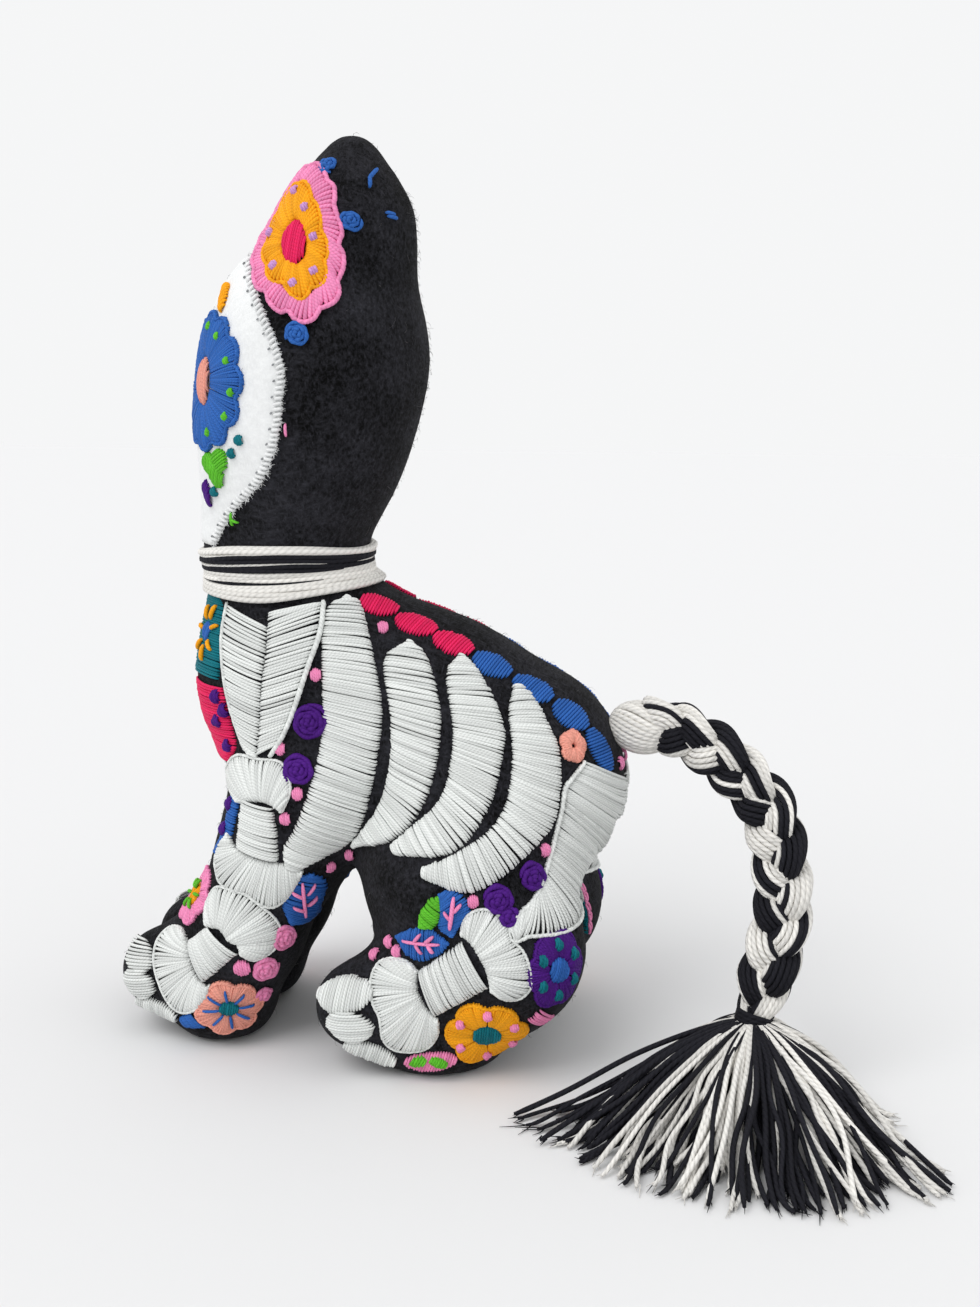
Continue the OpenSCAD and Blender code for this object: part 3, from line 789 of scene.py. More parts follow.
# Route of the plait after the loop, relative to the loop, down to the knot, in metres
ROUTE = (
    (0.008, -0.003, 0.002), (0.012, -0.005, 0.001), (0.017, -0.007, -0.001), (0.023, -0.009, -0.004),
    (0.029, -0.011, -0.008), (0.034, -0.013, -0.013), (0.039, -0.015, -0.018), (0.042, -0.017, -0.024),
    (0.044, -0.020, -0.031), (0.045, -0.022, -0.038), (0.046, -0.024, -0.046), (0.045, -0.026, -0.054),
    (0.043, -0.028, -0.061), (0.042, -0.030, -0.067), (0.040, -0.031, -0.073), (0.038, -0.033, -0.081),
)
# The plait's middle line from the loop to the knot
TAIL_ROUTE = np.concatenate([LOOP[None], LOOP + np.array(ROUTE) / MM])
KNOT = TAIL_ROUTE[-1]
PLAIT_W, PLAIT_T, LOOP_R = 16.5, 13.0, 7.2
# Half width and half thickness of one strand
STRAND_W, STRAND_T = 4.9, 3.4
# Yarns in the outer and the inner ring of a strand
PLAIT_YARNS = 15, 6
# Length of plait in which a strand comes back to its side
PLAIT_TURN = 34
YARN_R = 0.82
# Radius of the tie, how often it goes round, and where along the plait it starts and ends, from the knot
TIE_R, TIE_TURNS, TIE_FROM, TIE_TO = 5.0, 3, -1.0, 2.4


def track(points, count, side):
    """Even points along a smooth curve with their directions along, across and over it.

    Across is square to the direction and to side, so that the plait's broad face looks along side.
    """
    line = curve(points, count)
    along = unit(np.gradient(line, axis=0))
    across = unit(np.cross(along, side))
    return line, along, across, np.cross(across, along)


def plait_yarns():
    """Yarns of a three-strand plait, as paths, normals and radii, with their strand and place in it.

    A strand's middle weaves across as sin(a) and over as sin(2a), a third of a turn behind the next, and its
    yarns lie in two flattened rings round that middle, turning slowly with it.
    """
    line, along, across, over = track(TAIL_ROUTE, 150, (0.15, 1.0, 0.0))
    run = run_along(line)
    begin = run > LOOP_R * 0.55
    line, along, across, over, run = (a[begin] for a in (line, along, across, over, run))
    # The plait is drawn in at the tie
    close = np.interp(run, [run[-1] - 14, run[-1] - 1], [1.0, 0.52])
    outer, inner = PLAIT_YARNS
    strands = np.arange(3)
    ring = np.concatenate([np.arange(outer) / outer, np.arange(inner) / inner + 0.1]) * 2 * math.pi
    reach = np.concatenate([np.ones(outer), np.full(inner, 0.5)])
    phase = run[None] / PLAIT_TURN * 2 * math.pi + strands[:, None] * 2 * math.pi / 3 + 0.6
    out = (PLAIT_W / 2 - STRAND_W + 0.9) * np.sin(phase) * close
    up = (PLAIT_T / 2 - STRAND_T) * np.sin(2 * phase) * close
    middle = line[None] + out[..., None] * across[None] + up[..., None] * over[None]
    spin = ring[None, :, None] + 0.4 * phase[:, None] + strands[:, None, None]
    share = reach[None, :, None] * close * (1 + 0.04 * np.sin(run / 6 + ring[:, None])[None])
    aside, above = (STRAND_W - YARN_R) * share * np.cos(spin), (STRAND_T - YARN_R) * share * np.sin(spin)
    # Yarns keep square to their strand, so the outer ones go the longer way round each bend
    way = np.gradient(middle, axis=1)
    way = unit(way - 0.6 * (way * over).sum(-1, keepdims=True) * over)
    beside = unit(np.cross(way, over[None]))
    top = np.cross(beside, way)
    path = middle[:, None] + aside[..., None] * beside[:, None] + above[..., None] * top[:, None]
    normal = np.broadcast_to(over, path.shape)
    width = np.broadcast_to(YARN_R * (0.75 + 0.25 * close), path.shape[:3])
    return path, normal, width


def loop_yarns():
    """Yarns of the bundle at the rump: arcs over a ball, as meridians about the plait's first direction."""
    first = unit(np.array(ROUTE[2]))
    u = unit(np.cross(first, (0, 0, 1)))
    v = np.cross(first, u)
    paths, normals = [], []
    for layer, (size, count) in enumerate(((LOOP_R + 0.5, 30), (LOOP_R - 0.9, 24))):
        turn = (np.arange(count) + 0.5 * layer) / count * 2 * math.pi + rng.normal(0, 0.03, count)
        t = np.linspace(-1.35, 1.35, 22)
        ring = circle(turn[:, None] + 0.35 * t[None], u, v)
        bow = size * np.cos(t * 0.98)[None, :, None] * ring
        paths.append(LOOP + first + bow + ((size + 2.4) * np.sin(t))[None, :, None] * first)
        normals.append(ring)
    path = np.concatenate(paths)
    return path, np.concatenate(normals), np.full(path.shape[:2], 0.85)


def is_white(strand, yarn):
    """Which yarns of the plait are white: most of one strand, a few of the next and half of the third."""
    return (yarn not in (3, 4, 11, 16), yarn in (0, 1, 8, 15), yarn in (0, 1, 2, 5, 6, 7, 10, 17, 18))[strand]


def tassel_strands(count, low, high, reach, height, white_share, radius, wave):
    """Strands that run out of the knot and down on to the ground, and which of them are white.

    Seen from above a strand runs straight out at its angle, and its distance grows as t ** 0.9. Its height
    falls as a power of (1 - t ** q) to where it lies, and two sines of the distance bend it from side to
    side. The two colours come in locks a few strands wide.
    """
    t = np.linspace(0, 1, 40)[None]
    column = (count, 1)
    share = (np.arange(count) + rng.uniform(0.1, 0.9, count)) / count
    angle = np.radians(low + (high - low) * share + rng.normal(0, 3.5, count))[:, None]
    size = np.interp(share, *reach)[:, None] * rng.uniform(0.78, 1.06, column)
    start = rng.uniform(0.8, 3.8, column)
    out = start + (size - start) * t**0.9
    rest = height * rng.uniform(0.3, 1.0, column) + radius + 0.3
    fall = (1 - t ** rng.uniform(1.3, 2.0, column)) ** rng.uniform(1.0, 2.4, column)
    lift = rest * (1 - 0.75 * t**3) + (KNOT[2] + 1 - rest) * fall
    bend = wave * t * sum(
        rng.normal(0, swing, column) * np.sin(out / rng.uniform(*bow, column) + rng.uniform(0, 6, column))
        for swing, bow in ((3.0, (9, 17)), (0.8, (3.5, 6)))
    )
    x = KNOT[0] + out * np.cos(angle) - bend * np.sin(angle)
    y = KNOT[1] + out * np.sin(angle) + bend * np.cos(angle)
    z = np.maximum(lift + 0.3 * np.sin(out / 5 + share[:, None] * 40) * t, radius + 0.15)
    path = np.stack([x, y, z], -1)
    thick = radius * rng.uniform(0.85, 1.12, column) * np.interp(t, [0, 0.1, 0.95, 1], [0.8, 1, 1, 0.6])
    lock = rng.random(count // 3 + 1)[np.arange(count) // 3]
    white = 0.6 * lock + 0.4 * rng.random(count) < np.interp(share, *white_share)
    return (path, np.broadcast_to((0.0, 0.0, 1.0), path.shape), thick), white


def chosen(laid, pick):
    """Some of a set of laid threads."""
    return tuple(a[pick] for a in laid)


def frayed(laid, radius, length):
    """Loose fibres at the far ends of yarns, three to each."""
    path, _, _ = laid
    tip, way = path[:, -2], unit(path[:, -1] - path[:, -4])
    way = np.repeat(way, 3, 0) + rng.normal(0, 0.28, (3 * len(tip), 3))
    start = np.repeat(tip, 3, 0) + rng.normal(0, 0.3, (3 * len(tip), 3))
    t = np.linspace(0, 1, 4)[None, :, None] * length * rng.uniform(0.5, 1.2, (3 * len(tip), 1, 1))
    fibres = start[:, None] + way[:, None] * t
    fibres[..., 2] = np.maximum(fibres[..., 2], radius + 0.1)
    normal = np.broadcast_to((0.1, 0.2, 0.97), fibres.shape)
    width = radius * np.array([1, 0.9, 0.6, 0.3])[None] * np.ones((len(fibres), 1))
    return fibres, normal, width


BOTH_ENDS = (0, 1)
SIDES_REACH = (0, 0.1, 0.5, 0.85, 1), (70, 65, 64, 68, 70)
SIDES_WHITE = (0, 0.25, 0.45, 0.6, 0.85, 1), (0.15, 0.5, 0.5, 0.3, 0.5, 0.9)
# Layers of the tassel: strands, first and last angle, reach along the angles, height, share of white along
# them, radius and waviness, then radius and length of the loose fibres at their ends
TASSEL = (
    (130, 204, 324, SIDES_REACH, 3.0, SIDES_WHITE, 0.8, 1.0, 0.2, 3.2),
    (46, 210, 320, SIDES_REACH, 6.5, SIDES_WHITE, 0.8, 1.0, 0.2, 3.2),
    # Thick kinked white strands on top, in front
    (7, 246, 300, (BOTH_ENDS, (56, 50)), 11, (BOTH_ENDS, (1, 1)), 1.05, 2.2, 0.3, 3.2),
    # A long thin wisp of black on the left
    (3, 203, 209, (BOTH_ENDS, (78, 70)), 4, (BOTH_ENDS, (0, 0)), 0.6, 0.6, 0.2, 6),
    # Shorter strands behind, which close the tassel all round
    (64, 322, 566, ((0, 0.3, 0.7, 1), (44, 26, 26, 44)), 2.5, (BOTH_ENDS, (0.5, 0.5)), 0.8, 1.0, 0.2, 3.2),
)


def tie_yarn():
    """The tie: a helix of a few turns round the plait's end, square to it."""
    route = curve(TAIL_ROUTE, 150)
    end, along = route[-2], unit(route[-1] - route[-5])
    u = unit(np.cross(along, (0, 1, 0)))
    ring = circle(np.linspace(0, TIE_TURNS * 2 * math.pi, 110), u, np.cross(along, u))
    wound = end + TIE_R * ring - along * np.linspace(TIE_FROM, TIE_TO, 110)[:, None]
    return wound[None], ring[None], np.full((1, 110), 0.8)


def tail():
    """The yarn loop, the plait, its tie and the tassel."""
    thread_piece("tail_loop_yarn", [loop_yarns()], "white_yarn", "tail_root", ["tail_loop"])
    laid = plait_yarns()
    white = np.array([[is_white(s, y) for y in range(laid[0].shape[1])] for s in range(3)])
    pale, dark = chosen(laid, white), chosen(laid, ~white)
    plait_white = thread_piece("plait_yarn_white", [pale], "white_yarn", "tail", ["tail_plait"])
    plait_black = thread_piece("plait_yarn_black", [dark], "black_yarn", "tail")
    tie = thread_piece("tail_tie_yarn", [tie_yarn()], "black_yarn", "tail", ["tail_tie"])
    found = {"black": [], "white": []}
    for *layer, fray_radius, fray_length in TASSEL:
        laid, white = tassel_strands(*layer)
        for colour, parts in found.items():
            strands = chosen(laid, white == (colour == "white"))
            parts += [strands, frayed(strands, fray_radius, fray_length)]
    tassel_black, tassel_white = [thread_piece(f"tassel_yarn_{colour}", parts, f"{colour}_yarn", "tail", [f"tassel_{colour}"])
               for colour, parts in found.items()]
    core = place(curve(TAIL_ROUTE, 150)[3:])


# ---- Stage ----


FLOOR_HALF, FLOOR_Z = 3.0, -0.0002
# Place of the camera, and the way that it and the light look
CAMERA_AT, CAMERA_WAY = (0.11877, -0.46089, 0.218), (-0.17034, 0.96605, -0.19423)
LIGHT_WAY = 0.5, 0.62, -1.05


def aimed(obj, way):
    """Turns a light or a camera to look along a direction."""
    obj.rotation_euler = Vector(way).to_track_quat("-Z", "Y").to_euler()
    return obj


def stage():
    """A wide pale floor, one broad soft light from the upper left in front, and a pale sky."""
    material, shader = new_material("pale_floor", (0.757, 0.757, 0.76), 0.9)
    n = Nodes(material)
    n.tree.links.new(n.bump(n.noise(n.place(), 900, 2), 0.1, 0.0001), shader.inputs["Normal"])
    mesh = bpy.data.meshes.new("studio_floor")
    corners = [(x * FLOOR_HALF, y * FLOOR_HALF, FLOOR_Z) for x, y in ((-1, -1), (1, -1), (1, 1), (-1, 1))]
    mesh.from_pydata(corners, [], [(0, 1, 2, 3)])
    mesh.materials.append(material)
    linked("studio_floor", mesh)
    world = bpy.data.worlds.new("pale_room")
    world.use_nodes = True
    world.node_tree.nodes["Background"].inputs["Color"].default_value = (0.945, 0.95, 0.955, 1)
    world.node_tree.nodes["Background"].inputs["Strength"].default_value = 0.97
    bpy.context.scene.world = world
    light = bpy.data.lights.new("soft_key", "SUN")
    light.energy, light.angle = 1.15, math.radians(38)
    aimed(linked("soft_key", light), LIGHT_WAY)
    bpy.context.scene.view_settings.view_transform = "Standard"


def camera():
    """The camera, standing in front of the left flank and a little above the middle."""
    lens = bpy.data.cameras.new("main_camera")
    lens.lens, lens.sensor_width, lens.clip_start = 41.67, 36, 0.02
    obj = aimed(linked("main_camera", lens), CAMERA_WAY)
    obj.location = CAMERA_AT
    bpy.context.scene.camera = obj


# ---- White felt face, collar ----

# Left edge of the face panel, from its top to the collar: x and z on the left side
FACE_EDGE = (
    (-28, 247), (-26, 242), (-24, 238), (-19, 229), (-15, 221), (-13, 213), (-14, 205), (-15, 197),
    (-18, 188),
    (-23, 180), (-31, 173), (-37, 166), (-41, 160),
)
FACE_T = 1.1


def at(hoop, points):
    """Flat points of a hoop for spots given by x and z on the left side."""
    seat, _ = flank(hoop.field).drop(np.array(points, float))
    rel = seat - hoop.middle
    return np.stack([rel @ hoop.across, rel @ hoop.up], -1)


def face_panel():
    """A sheet of felt round the front of the head, as rings across its outer and back along its inner face.

    Each row runs level from the left edge round the front to the right edge, by even steps of the angle
    about the head's middle, and its lift sinks to nothing at the edges as the fourth power of the share.
    """
    edge = curve(FACE_EDGE, 64)
    seat, _ = flank(animal_field).drop(edge)
    middle = np.interp(edge[:, 1], [155, 195, 218, 250], [-24, -17, -13, -4])
    reach = np.arctan2(seat[:, 1], seat[:, 0] - middle) % (2 * math.pi)
    share = np.linspace(-1, 1, 56)
    turn = math.pi + (reach - math.pi)[:, None] * -share[None]
    way = np.stack([-np.cos(turn), -np.sin(turn), np.zeros_like(turn)], -1)
    start = np.stack([np.broadcast_to(middle[:, None], turn.shape), np.zeros_like(turn),
                      np.broadcast_to(edge[:, 1:2], turn.shape)], -1) - way * 60
    inner = cast(animal_field, start, way)
    normal = slope(animal_field, inner)
    row = np.linspace(-1, 1, len(edge))[:, None]
    rim = (1 - np.abs(share[None]) ** 14) * (1 - np.abs(row) ** 30)
    ripple = 0.07 * np.sin(inner[..., 2] * 1.7 + inner[..., 1] * 0.8) + 0.05 * np.sin(inner[..., 1] * 2.3)
    outer = inner + normal * (FACE_T * (0.35 + 0.65 * rim) + ripple)[..., None]
    under = inner - normal * 0.6
    rings = np.concatenate([outer, under[:, ::-1]], 1)
    points, quads, ends = grid_solid(rings)
    return put_mesh("face_panel_felt", points, [quads, ends]), edge


def panel_field(p):
    """The face panel's surface as a field: the animal's form grown by the felt's thickness."""
    return animal_field(p) - FACE_T


def face_stitches(edge):
    """Overcast stitches over the panel's edge: each goes down just outside it and comes up well inside."""
    line = curve(edge, 130)
    way = unit(np.gradient(line, axis=0))
    inside = np.stack([way[:, 1], -way[:, 0]], -1)
    line, way, inside = line[2:-2:2], way[2:-2:2], inside[2:-2:2]
    outer, inner = line - inside * 0.3, line + inside * 2.0 + way * 0.8
    return lay(flank(animal_field), outer, inner, 1.3, 0.5, low=-0.2, steps=8)


# Wound yarns of the collar from the top: W white, B black, w and b thinner ones
COLLAR = "WwBBwBBWWWbWWWW"
THICK_YARN, THIN_YARN = 0.92, 0.6
# Lift of each of the two layers
COLLAR_LIFTS = 0.6, 1.5
# Height at the neck's middle, rise per millimetre to the back and sag at the flanks, of the first yarn
# and of the last
COLLAR_FIRST = (157.6, 0.035, -2.6)
COLLAR_LAST = (146.6, 0.045, 2.0)
# The neck's middle, its radius for the slant, and the radius from which the rings are drawn in to it
NECK_X, NECK_R, RING_R = -23, 25, 60


def collar_yarns():
    """Two layers of wound yarn: rings on the neck, each on a slanting plane less a sag at the flanks."""
    found = {True: [], False: []}
    turn = np.linspace(0, 2 * math.pi, 121)
    way = np.stack([-np.cos(turn), -np.sin(turn), np.zeros_like(turn)], -1)
    for layer, lift in enumerate(COLLAR_LIFTS):
        for i, kind in enumerate(COLLAR):
            share = (i + 0.45 * layer) / (len(COLLAR) - 0.5)
            height, slant, sag = np.array(COLLAR_FIRST) * (1 - share) + np.array(COLLAR_LAST) * share
            wobble = 0.25 * np.sin(turn * 2 + i * 1.9 + layer) + 0.15 * np.sin(turn * 5 + i * 2.7)
            z = height + NECK_R * slant * np.cos(turn) - sag * np.sin(turn) ** 2 + wobble
            start = np.stack([NECK_X + RING_R * np.cos(turn), RING_R * np.sin(turn), z], -1)
            seat = cast(animal_field, start, way)
            seat[:, 2] = z
            normal = unit(slope(animal_field, seat) * (1, 1, 0.3))
            path = seat + normal * (lift + 0.15 * np.sin(turn * 3 + i))[:, None]
            radius = THICK_YARN if kind.isupper() else THIN_YARN
            found[kind in "Ww"].append((path[None], normal[None], np.full((1, len(turn)), radius)))
    return found


# ---- Bones in padded white satin stitch ----

# Edges of the ribs from top to bottom, front edge and back edge: x and z on the left side
RIBS = (
    (((0, 145), (-5, 140), (-4, 118), (-5, 100), (-10, 81), (-16, 69), (-16, 63)),
     ((0, 145), (6, 140), (14, 116), (13, 99), (10, 86), (4, 71), (-12, 62))),
    (((20, 132), (14, 127), (17, 112), (17, 99), (14, 86), (10, 78), (3, 69)),
     ((21, 132), (27, 127), (32, 113), (31, 96), (26, 82), (18, 74), (5, 68.5))),
    (((35.5, 128), (33, 123), (36, 108), (35, 94), (32, 86), (26, 80), (19, 73)),
     ((37, 128), (44, 121), (51, 108), (50, 94), (47, 84), (39, 74), (21, 71))),
    (((52.5, 119), (52, 113), (54, 100), (53, 88), (49, 80), (40, 74), (30, 69)),
     ((54, 119), (60, 114), (67, 102), (68, 88), (64, 76), (46, 63), (30, 66))),
)
BLADE_FRONT = ((-37, 142), (-38, 134), (-37, 124), (-34, 110), (-31, 101), (-28, 97))
BLADE_FOLD = ((-22, 141), (-21.8, 130), (-23, 118), (-23.8, 108), (-24.5, 101), (-25, 97))
BLADE_BACK = ((-6, 143.5), (-6, 135), (-8.5, 126), (-12, 115), (-16, 105), (-20, 98))
HIP_FRONT = ((74, 97), (71, 93), (69, 90), (68, 83), (66, 74), (64, 66), (62, 60), (58, 56), (55, 53.5))
HIP_BACK = (
    (66, 106), (73, 102), (78, 97.5), (83, 93), (85, 87), (85, 80), (83.5, 73), (80, 62), (74, 53), (66, 49),
    (57.5, 48.5),
)
# Blanket-stitched fans: short base, then looped rim
ARM_HEAD = (
    ((-31, 82), (-22, 83.5), (-16, 81.5)),
    ((-31, 82), (-35, 84), (-38, 87.5), (-37, 91.5), (-32, 96), (-25, 96), (-17, 96), (-14, 92),
    (-13.5, 87), (-16, 81.5)),
)
ELBOW = (
    ((-35, 71), (-33, 68), (-28, 66.5), (-22, 65), (-17, 64), (-11.5, 61.5)),
    ((-35, 71), (-39, 66.5), (-41, 62), (-40, 58), (-38, 55), (-33, 53.5), (-29, 53.5), (-26, 51),
    (-22, 49), (-19, 50),
     (-16, 53), (-13, 58), (-11.5, 61)),
)
WRIST = (
    ((-42, 42), (-37.5, 41), (-35, 38), (-32, 37), (-31, 34.5)),
    ((-42, 42), (-43, 47), (-40, 53), (-35, 54), (-29, 53), (-24, 49), (-21, 45), (-20, 40), (-21, 36),
    (-24, 33),
     (-28, 32), (-31, 34.5)),
)
FOOT = (
    ((-50, 36), (-49, 33), (-48, 28), (-46, 24), (-43, 21.5)),
    ((-50, 36), (-53, 38), (-58, 36.5), (-62, 33), (-63, 29), (-62, 24), (-60, 19), (-58, 15), (-55, 12),
    (-51, 11.5),
     (-46, 14), (-43, 18), (-42, 22)),
)
SHIN = (
    ((42, 50), (45, 47), (49, 40.5), (51, 34)),
    ((42, 50), (43, 55), (47, 57.5), (51, 56.5), (55, 53), (56, 49), (59, 46), (61, 42), (62, 36), (61, 33),
    (58, 31),
     (54, 31.5), (51, 34)),
)
HIND_FOOT = (
    ((28, 37), (28, 31), (31, 25), (34, 22)),
    ((28, 37), (25, 39), (20, 39), (15, 36.5), (13, 32), (14, 26), (16, 22), (16.5, 18), (17, 14),
    (20, 10.5), (26, 10),
     (31, 12), (34, 17), (34, 22)),
)
# Bars between two edges that the stitches run across
UPPER_ARM = ((-30, 83), (-31, 76), (-32, 68)), ((-19, 82), (-18, 74), (-18, 64.5))
FRONT_SHANK = ((-49, 36), (-42, 41.5)), ((-44, 23), (-32, 34))
HIND_SHANK = ((28.5, 37), (42, 48)), ((33.5, 23), (50, 34.5))
# Toes: x, z, half length, half height, turn, slant of the stitches
FRONT_TOES = ((-68.5, 26.5, 5.8, 4.2, 0, 8), (-68, 18.5, 5.8, 4.3, -10, 10), (-62, 10.5, 8, 2.8, -14, 84))
HIND_TOES = ((5.5, 27, 9, 4.8, 17, 80), (7, 18.2, 7.4, 4.7, -5, 4), (12.5, 8.6, 8.4, 3.5, -22, 68))


# The order in which the bones are laid
BONE_ORDER = (
    "ribs", "shoulder_blade", "arm_bones", "front_paw_bones", "front_toes", "hip_bone", "hind_paw_bones",
    "hind_toes",
)


def bones(pitch, pad, radius):
    """The skeleton of one flank: each group's threads, by the CAD node that they stand for."""
    body = flank(body_field)
    rump = hoop_at(body_field, 76, 74)
    front, back = at(rump, HIP_FRONT), at(rump, HIP_BACK)

    def limb(high, high_pad, low, low_pad, bar, bar_pad):
        """Two fans and the bar between them."""
        ends = fan(body, *high, pitch, pad * high_pad, radius) + fan(body, *low, pitch, pad * low_pad, radius)
        return [*ends, between(body, *bar, pitch, pad * bar_pad, radius)]

    def toes(ovals):
        """Toes in satin stitch, packed a little closer than the bones."""
        return [oval(body, *spot, pitch * 0.95, pad * 1.05, radius) for spot in ovals]

    groups = {
        "ribs": [between(body, *rib, pitch, pad, radius, lag=0.012) for rib in RIBS],
        "shoulder_blade": [
            between(body, BLADE_FRONT, BLADE_FOLD, 1.08, pad * 0.7, radius, lag=0.1),
            between(body, BLADE_FOLD, BLADE_BACK, 1.12, pad * 0.8, radius, lag=-0.08),
            edging(body, BLADE_FRONT, 1.9, radius * 1.15),
            edging(body, BLADE_BACK, 1.9, radius * 1.6, lift=1.1),
        ],
        "arm_bones": limb(ARM_HEAD, 1, ELBOW, 1, UPPER_ARM, 1.15),
        "front_paw_bones": limb(WRIST, 1, FOOT, 0.9, FRONT_SHANK, 1.1),
        "hip_bone": [
            between(rump, front, back, 1.5, pad * 0.9, radius, lag=0.2),
            edging(rump, front, 1.6, radius * 1.3, lift=0.9),
            edging(rump, back[6:], 1.6, radius * 1.2, lift=0.9),
        ],
        "hind_paw_bones": limb(SHIN, 1, HIND_FOOT, 1, HIND_SHANK, 1.15),
        "front_toes": toes(FRONT_TOES),
        "hind_toes": toes(HIND_TOES),
    }
    return {node: groups[node] for node in BONE_ORDER}


# ---- Flowers in coloured thread ----


def ring_of(hoop, inner, outer, pitch, pad, radius):
    """Stitches from one closed line to another at the same share of the way round, and an edging."""
    count = int(length_of(curve(list(outer) + [outer[0]], 200)) / pitch)
    a, b = (curve(list(line) + [line[0]], count + 1)[:-1] for line in (inner, outer))
    return [lay(hoop, a, b, pad, radius), edging(hoop, b[::2], 1.6, radius * 1.05, closed=True)]


def scalloped(outline, lobes, dip):
    """A closed line drawn in between its lobes, towards its middle, by the sine of each lobe."""
    line = curve(list(outline) + [outline[0]], 161)[:-1]
    middle = line.mean(0)
    wave = 1 - dip * (1 - np.abs(np.sin(np.arange(160) / 160 * lobes * math.pi))) ** 2
    return middle + (line - middle) * wave[:, None]


def shrunk(outline, share):
    """A closed line drawn evenly towards its middle."""
    line = np.array(outline, float)
    return line.mean(0) + (line - line.mean(0)) * share


SPINE = (
    (10, 143.5, 6.3, 4.3, -22, True), (22, 138, 6.6, 4.6, -25, True), (34, 132.8, 6.4, 4.6, -28, True),
    (46, 126.6, 6.3, 4.8, -30, False), (58.5, 119.5, 6.6, 5.0, -34, False), (70.3, 112, 6.2, 5.0, -42, False),
    (79.2, 101, 7.4, 4.4, -66, False),
)
HEAD_RIM = (
    (-10, 274), (-5, 270.5), (-2, 267), (0, 259), (2, 250), (2, 239), (1, 233), (-3, 229), (-7, 227),
    (-13, 229),
    (-18, 233), (-23, 238), (-26, 245), (-24.5, 257), (-17, 268),
)
HEAD_GOLD = (
    (-13, 269), (-7, 263), (-2.5, 250), (-2, 240), (-4, 236), (-8, 233), (-13, 236), (-19, 240), (-22.5, 248),
    (-20, 259), (-16.5, 265),
)
HEAD_LILAC = ((-13, 264.5), (-9, 259.5), (-6, 251), (-5.5, 241), (-11, 237.5), (-17.5, 242.5), (-20.5, 252.5))
EYE_RIM = ((-37, 232), (-30, 227), (-26, 218), (-25.5, 209), (-27, 200), (-32, 194), (-38, 190))
GREEN_EYE_DOTS = ((-35, 223), (-31, 216), (-29.5, 207), (-32, 200), (-39, 226), (-39, 195))
TEAL_FACE_DOTS = ((-28, 193), (-31, 189), (-39, 177))
PURPLE_DOTS = (-39, 114), (-39.5, 106), (-36.5, 110), (-36, 98.5)
PINK_DOTS = (
    (12, 136), (-6, 123), (-17, 100), (-11, 87), (-15, 79), (2, 65), (-4, 61), (64, 72), (45, 60), (18, 43),
    (21, 41),
    (13, 38), (84, 93),
)
PURPLE_ROSES = ((-8, 109, 6.2), (-11, 94, 5.4))
HAUNCH_ROSES = ((61, 65, 5.2), (52, 60, 5.2), (55, 55, 3.6))
FRONT_LEAF = (
    ((-9, 60), (-13, 59), (-16, 54), (-18, 49), (-17, 42)),
    ((-9, 60), (-6, 56), (-8, 49), (-12, 41), (-17, 42)),
)
HIND_LEAF_HIGH = (
    ((35, 62), (35, 56), (35, 51), (39, 49)),
    ((35, 62), (39, 63.5), (43, 61), (44, 57), (41, 52), (39, 49)),
)
HIND_LEAF_LOW = (
    ((21, 46), (24, 41), (29, 40), (35, 43), (38, 47)),
    ((21, 46), (25, 49), (31, 51), (35, 49), (38, 47)),
)
BLUE_LEAVES = FRONT_LEAF, HIND_LEAF_HIGH, HIND_LEAF_LOW
GREEN_LEAF = ((35, 61), (32, 60), (29, 55), (29, 51)), ((35, 61), (35.5, 56), (33, 51), (29, 51))
LEAF_VEINS = (
    ((-12, 57.5), (-13.5, 44)), ((-11.5, 53), (-9, 56.5)), ((-12.2, 49), (-9.5, 51.5)),
    ((-12.5, 52), (-15, 54.5)),
    ((-13, 47), (-15.5, 49)), ((39.5, 61.5), (38.5, 51.5)), ((39.3, 57), (41.5, 59.5)),
    ((38.8, 54.5), (36.8, 57)),
    ((23.5, 45.5), (35.5, 46.5)), ((27.5, 46), (29.5, 49)), ((31, 46.3), (33.5, 48.8)),
    ((28, 45.6), (30, 42.8)),
    ((32, 46), (33.5, 43.8)),
)


# Wound roses: x, z, size and, on the legs, the radius of the thread
HEAD_ROSES = (-4, 272, 3.2), (4, 256, 3.4), (-9, 223.5, 3.9)
PAW_ROSES = (-19, 38, 4.9, 0.72), (-24.5, 28, 5.0, 0.72), (-27, 17.5, 3.4, 0.7)
# Single stitches on the head's felt
BLUE_TICKS = (
    ((9.5, 271), (8, 268)), ((8, 268.5), (8.5, 265.5)), ((13, 258.5), (15, 258)),
    ((13.5, 257.5), (15.5, 257)),
)
GREEN_TICKS = ((-33, 171), (-33, 167)), ((-33.5, 169), (-31, 168))
PINK_TICKS = (((-13, 198), (-13, 194.5)),)
# Flank edges of the chest's patches: x and z on the left side
TEAL_EDGE = (-39.5, 144), (-38, 140), (-37.3, 133), (-37.5, 126), (-39, 119)
MAGENTA_EDGE = (-37, 117), (-35.5, 112), (-34.5, 105), (-33.5, 98), (-37, 92.5)
BLUE_EDGE = (-33.5, 87), (-31.5, 83), (-33, 76), (-34.5, 70), (-39, 63)
# Corners of the zigzag on the rear patch, from its middle
ZIGZAG = (-2.2, 9), (2.0, 5.5), (-2.0, 2), (2.0, -1.5), (-1.8, -5), (1.4, -8)


def body_hoops(*spots):
    """Hoops square to the body's felt at each spot of the left side."""
    return [hoop_at(body_field, x, z) for x, z in spots]


def spot_on(hoop, x, z):
    """The flat point of a hoop for one spot of the left side."""
    return at(hoop, [(x, z)])[0]


